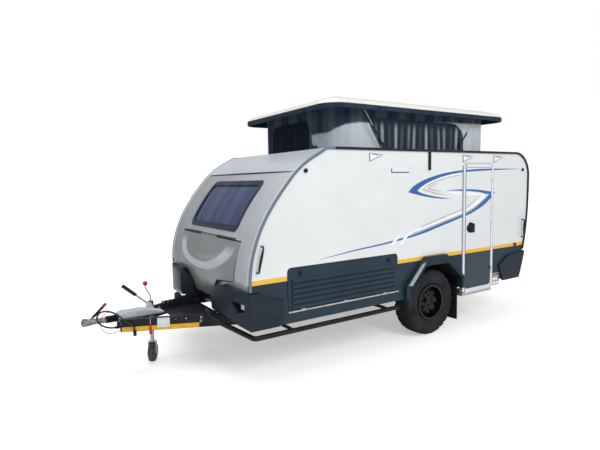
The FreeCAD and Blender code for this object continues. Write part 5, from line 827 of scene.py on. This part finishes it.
# Where the painted shadow ends: a line of height along x on the sides and along y round the near front corner, with the
# cloth pale below it; the rest of the front stays dark, and the rear end is pale below z 2.47.
shadow_edge_x = np.array([-0.345, -0.301, -0.223, -0.058, 0.06, 0.15, 0.30, 0.60, 1.4, 2.2])
shadow_edge_z = np.array([2.322, 2.370, 2.408, 2.434, 2.434, 2.428, 2.440, 2.470, 2.50, 2.52])
shadow_edge_y = np.array([0.475, 0.50, 0.525, 0.565, 0.607])
shadow_edge_rise = np.array([2.05, 2.17, 2.235, 2.285, 2.312])
canvas_x, canvas_y, canvas_z = np.moveaxis(canvas_grid, -1, 0)
under = np.where(canvas_x < -0.337, np.interp(-canvas_y, shadow_edge_y, shadow_edge_rise), np.interp(canvas_x, shadow_edge_x, shadow_edge_z))
sunlit_side = step_up(under - canvas_z, -0.012, 0.012) * (canvas_x < 2.0)
sunlit_side = sunlit_side * ((canvas_y < 0.0) | (canvas_x > -0.115))
sunlit_rear = step_up(canvas_x, 1.96, 2.0) * step_up(2.47 - canvas_z, -0.01, 0.01)
# A faint painted shade follows the creases: lighter where the cloth bulges out, darker where it sinks in.
give_painted_light(canvas, 0.92 * (sunlit_side + sunlit_rear) + 0.10 * (0.5 + 160.0 * crease))
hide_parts("canvas_walls")
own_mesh(canvas)


def window_sheet(name, face, low, high, z0, z1, radius, slant, flip, wave, wave_pitch, material, seed, ridge_highlight):
    """A soft window on a canvas wall: a grid between two side lines that draw in by a quarter circle near the top,
    face gives the wall's fixed coordinate, and the cloth stands in uneven pleats of `wave` metres, `wave_pitch` apart.
    ridge_highlight scales a painted highlight on their ridges, stronger along uneven streaks, against painted shade in
    the valleys; a painted shadow darkens the window towards its top."""
    up = np.linspace(z0, z1, 34)[None, :]
    drop = np.clip(up - (z1 - radius), 0.0, radius)
    inward = radius - np.sqrt(radius * radius - drop * drop)
    part = np.linspace(0.0, 1.0, 380)[:, None]
    start = low + slant * (1.0 - (up - z0) / (z1 - z0)) + inward * (slant == 0.0)
    place = start + (high - inward - start) * part
    pleat = fold_wave(place + 0.05 * (up - z0) * np.sin(place * 7.0), wave_pitch, 1.6, seed)
    proud = 0.0045 + wave * (0.5 + 0.5 * pleat)
    if face[0] == "x":
        grid = np.stack([face[1] - proud, place, np.broadcast_to(up, place.shape)], -1)
    else:
        side = math.copysign(1.0, face[1])
        grid = np.stack([place, face[1] + side * proud, np.broadcast_to(up, place.shape)], -1)
    piece = surface(name, grid[::-1] if flip else grid, material, "trailer")
    # Painted light: the ridges take the paler colour, more along uneven streaks, the valleys the darker one, and a
    # painted shadow darkens the top of the window.
    highlight_streak = 0.5 + 0.5 * fold_wave(place, wave_pitch * 2.7, 2.2, seed + 5)
    rise = np.clip((z1 - up) / (z1 - z0), 0.0, 1.0)
    shade = ridge_highlight * (0.5 + 0.5 * pleat) ** 2 * (0.10 + 0.90 * highlight_streak ** 2) * step_up(rise, 0.05, 0.4)
    give_painted_light(piece, shade[::-1] if flip else shade)
    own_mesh(piece)


# Windows in the canvas: a dark mesh flap with round upper corners in the front wall, and in each side a long dark mesh
# with a gathered silver curtain behind it. Their pleats carry a painted highlight on the ridges and painted shade in
# the valleys, and a painted shadow of the roof darkens their tops.
mesh_dark = cloth("mesh_dark", (30, 50, 74), (4, 18, 36), 600.0, 0.02)
mesh_curtain = cloth("mesh_curtain", (150, 158, 166), (30, 42, 56), 600.0, 0.05)
window_sheet("canvas_front_window", ("x", float(wall_box[0][0])), low=-0.285, high=0.50, z0=2.165, z1=2.495,
             radius=0.12, slant=0.0, flip=True, wave=0.0015, wave_pitch=0.11, material=mesh_dark, seed=21, ridge_highlight=0.35)
for side, label in sides:
    window_sheet(f"canvas_window_{label}", ("y", side * 0.818), low=0.05, high=1.615, z0=2.165, z1=2.490, radius=0.21,
                 slant=0.19, flip=side > 0, wave=0.007, wave_pitch=0.105, material=mesh_curtain, seed=23, ridge_highlight=1.25)

# The fixed roof is silver-grey glass fibre. The lifting roof is cream-white on top, and navy on its rim, underneath
# and on the inner faces of its edge.
dress(finish("roof_silver", (182, 190, 196), (174, 182, 188), (0.3, 0.42), 0.00005, coat=0.2), "fixed_roof")
roof_cream = finish("roof_cream", (228, 228, 220), (216, 216, 208), (0.25, 0.4), 0.0002, coat=0.3)


def dark_below(material, colour):
    """Gives that colour to every face that looks down or inwards: where the true normal's z is under -0.15, or its
    product with the level way out from (0.9, 0) is under -0.05."""
    tree = material.node_tree
    facing = wire(tree, "NewGeometry", "True Normal")
    rise = wire(tree, "SeparateXYZ", "Z", {"Vector": facing})
    down = wire(tree, "Math", 0, {0: rise, 1: -0.15}, operation="LESS_THAN")
    outwards = wire(tree, "Mapping", "Vector", {"Location": (-0.9, 0.0, 0.0), "Scale": (1.0, 1.0, 0.0),
                                                "Vector": wire(tree, "TexCoord", "Object")})
    turned = wire(tree, "VectorMath", "Value", {0: facing, 1: outwards}, operation="DOT_PRODUCT")
    inner = wire(tree, "Math", 0, {0: turned, 1: -0.05}, operation="LESS_THAN")
    return repaint(material, wire(tree, "Math", 0, {0: down, 1: inner}, operation="MAXIMUM"), colour)


roof_navy = (36, 52, 72)
dress(dark_below(banded(roof_cream, (roof_navy, ("Z", 2.40, 2.5625))), roof_navy), "poptop_roof")
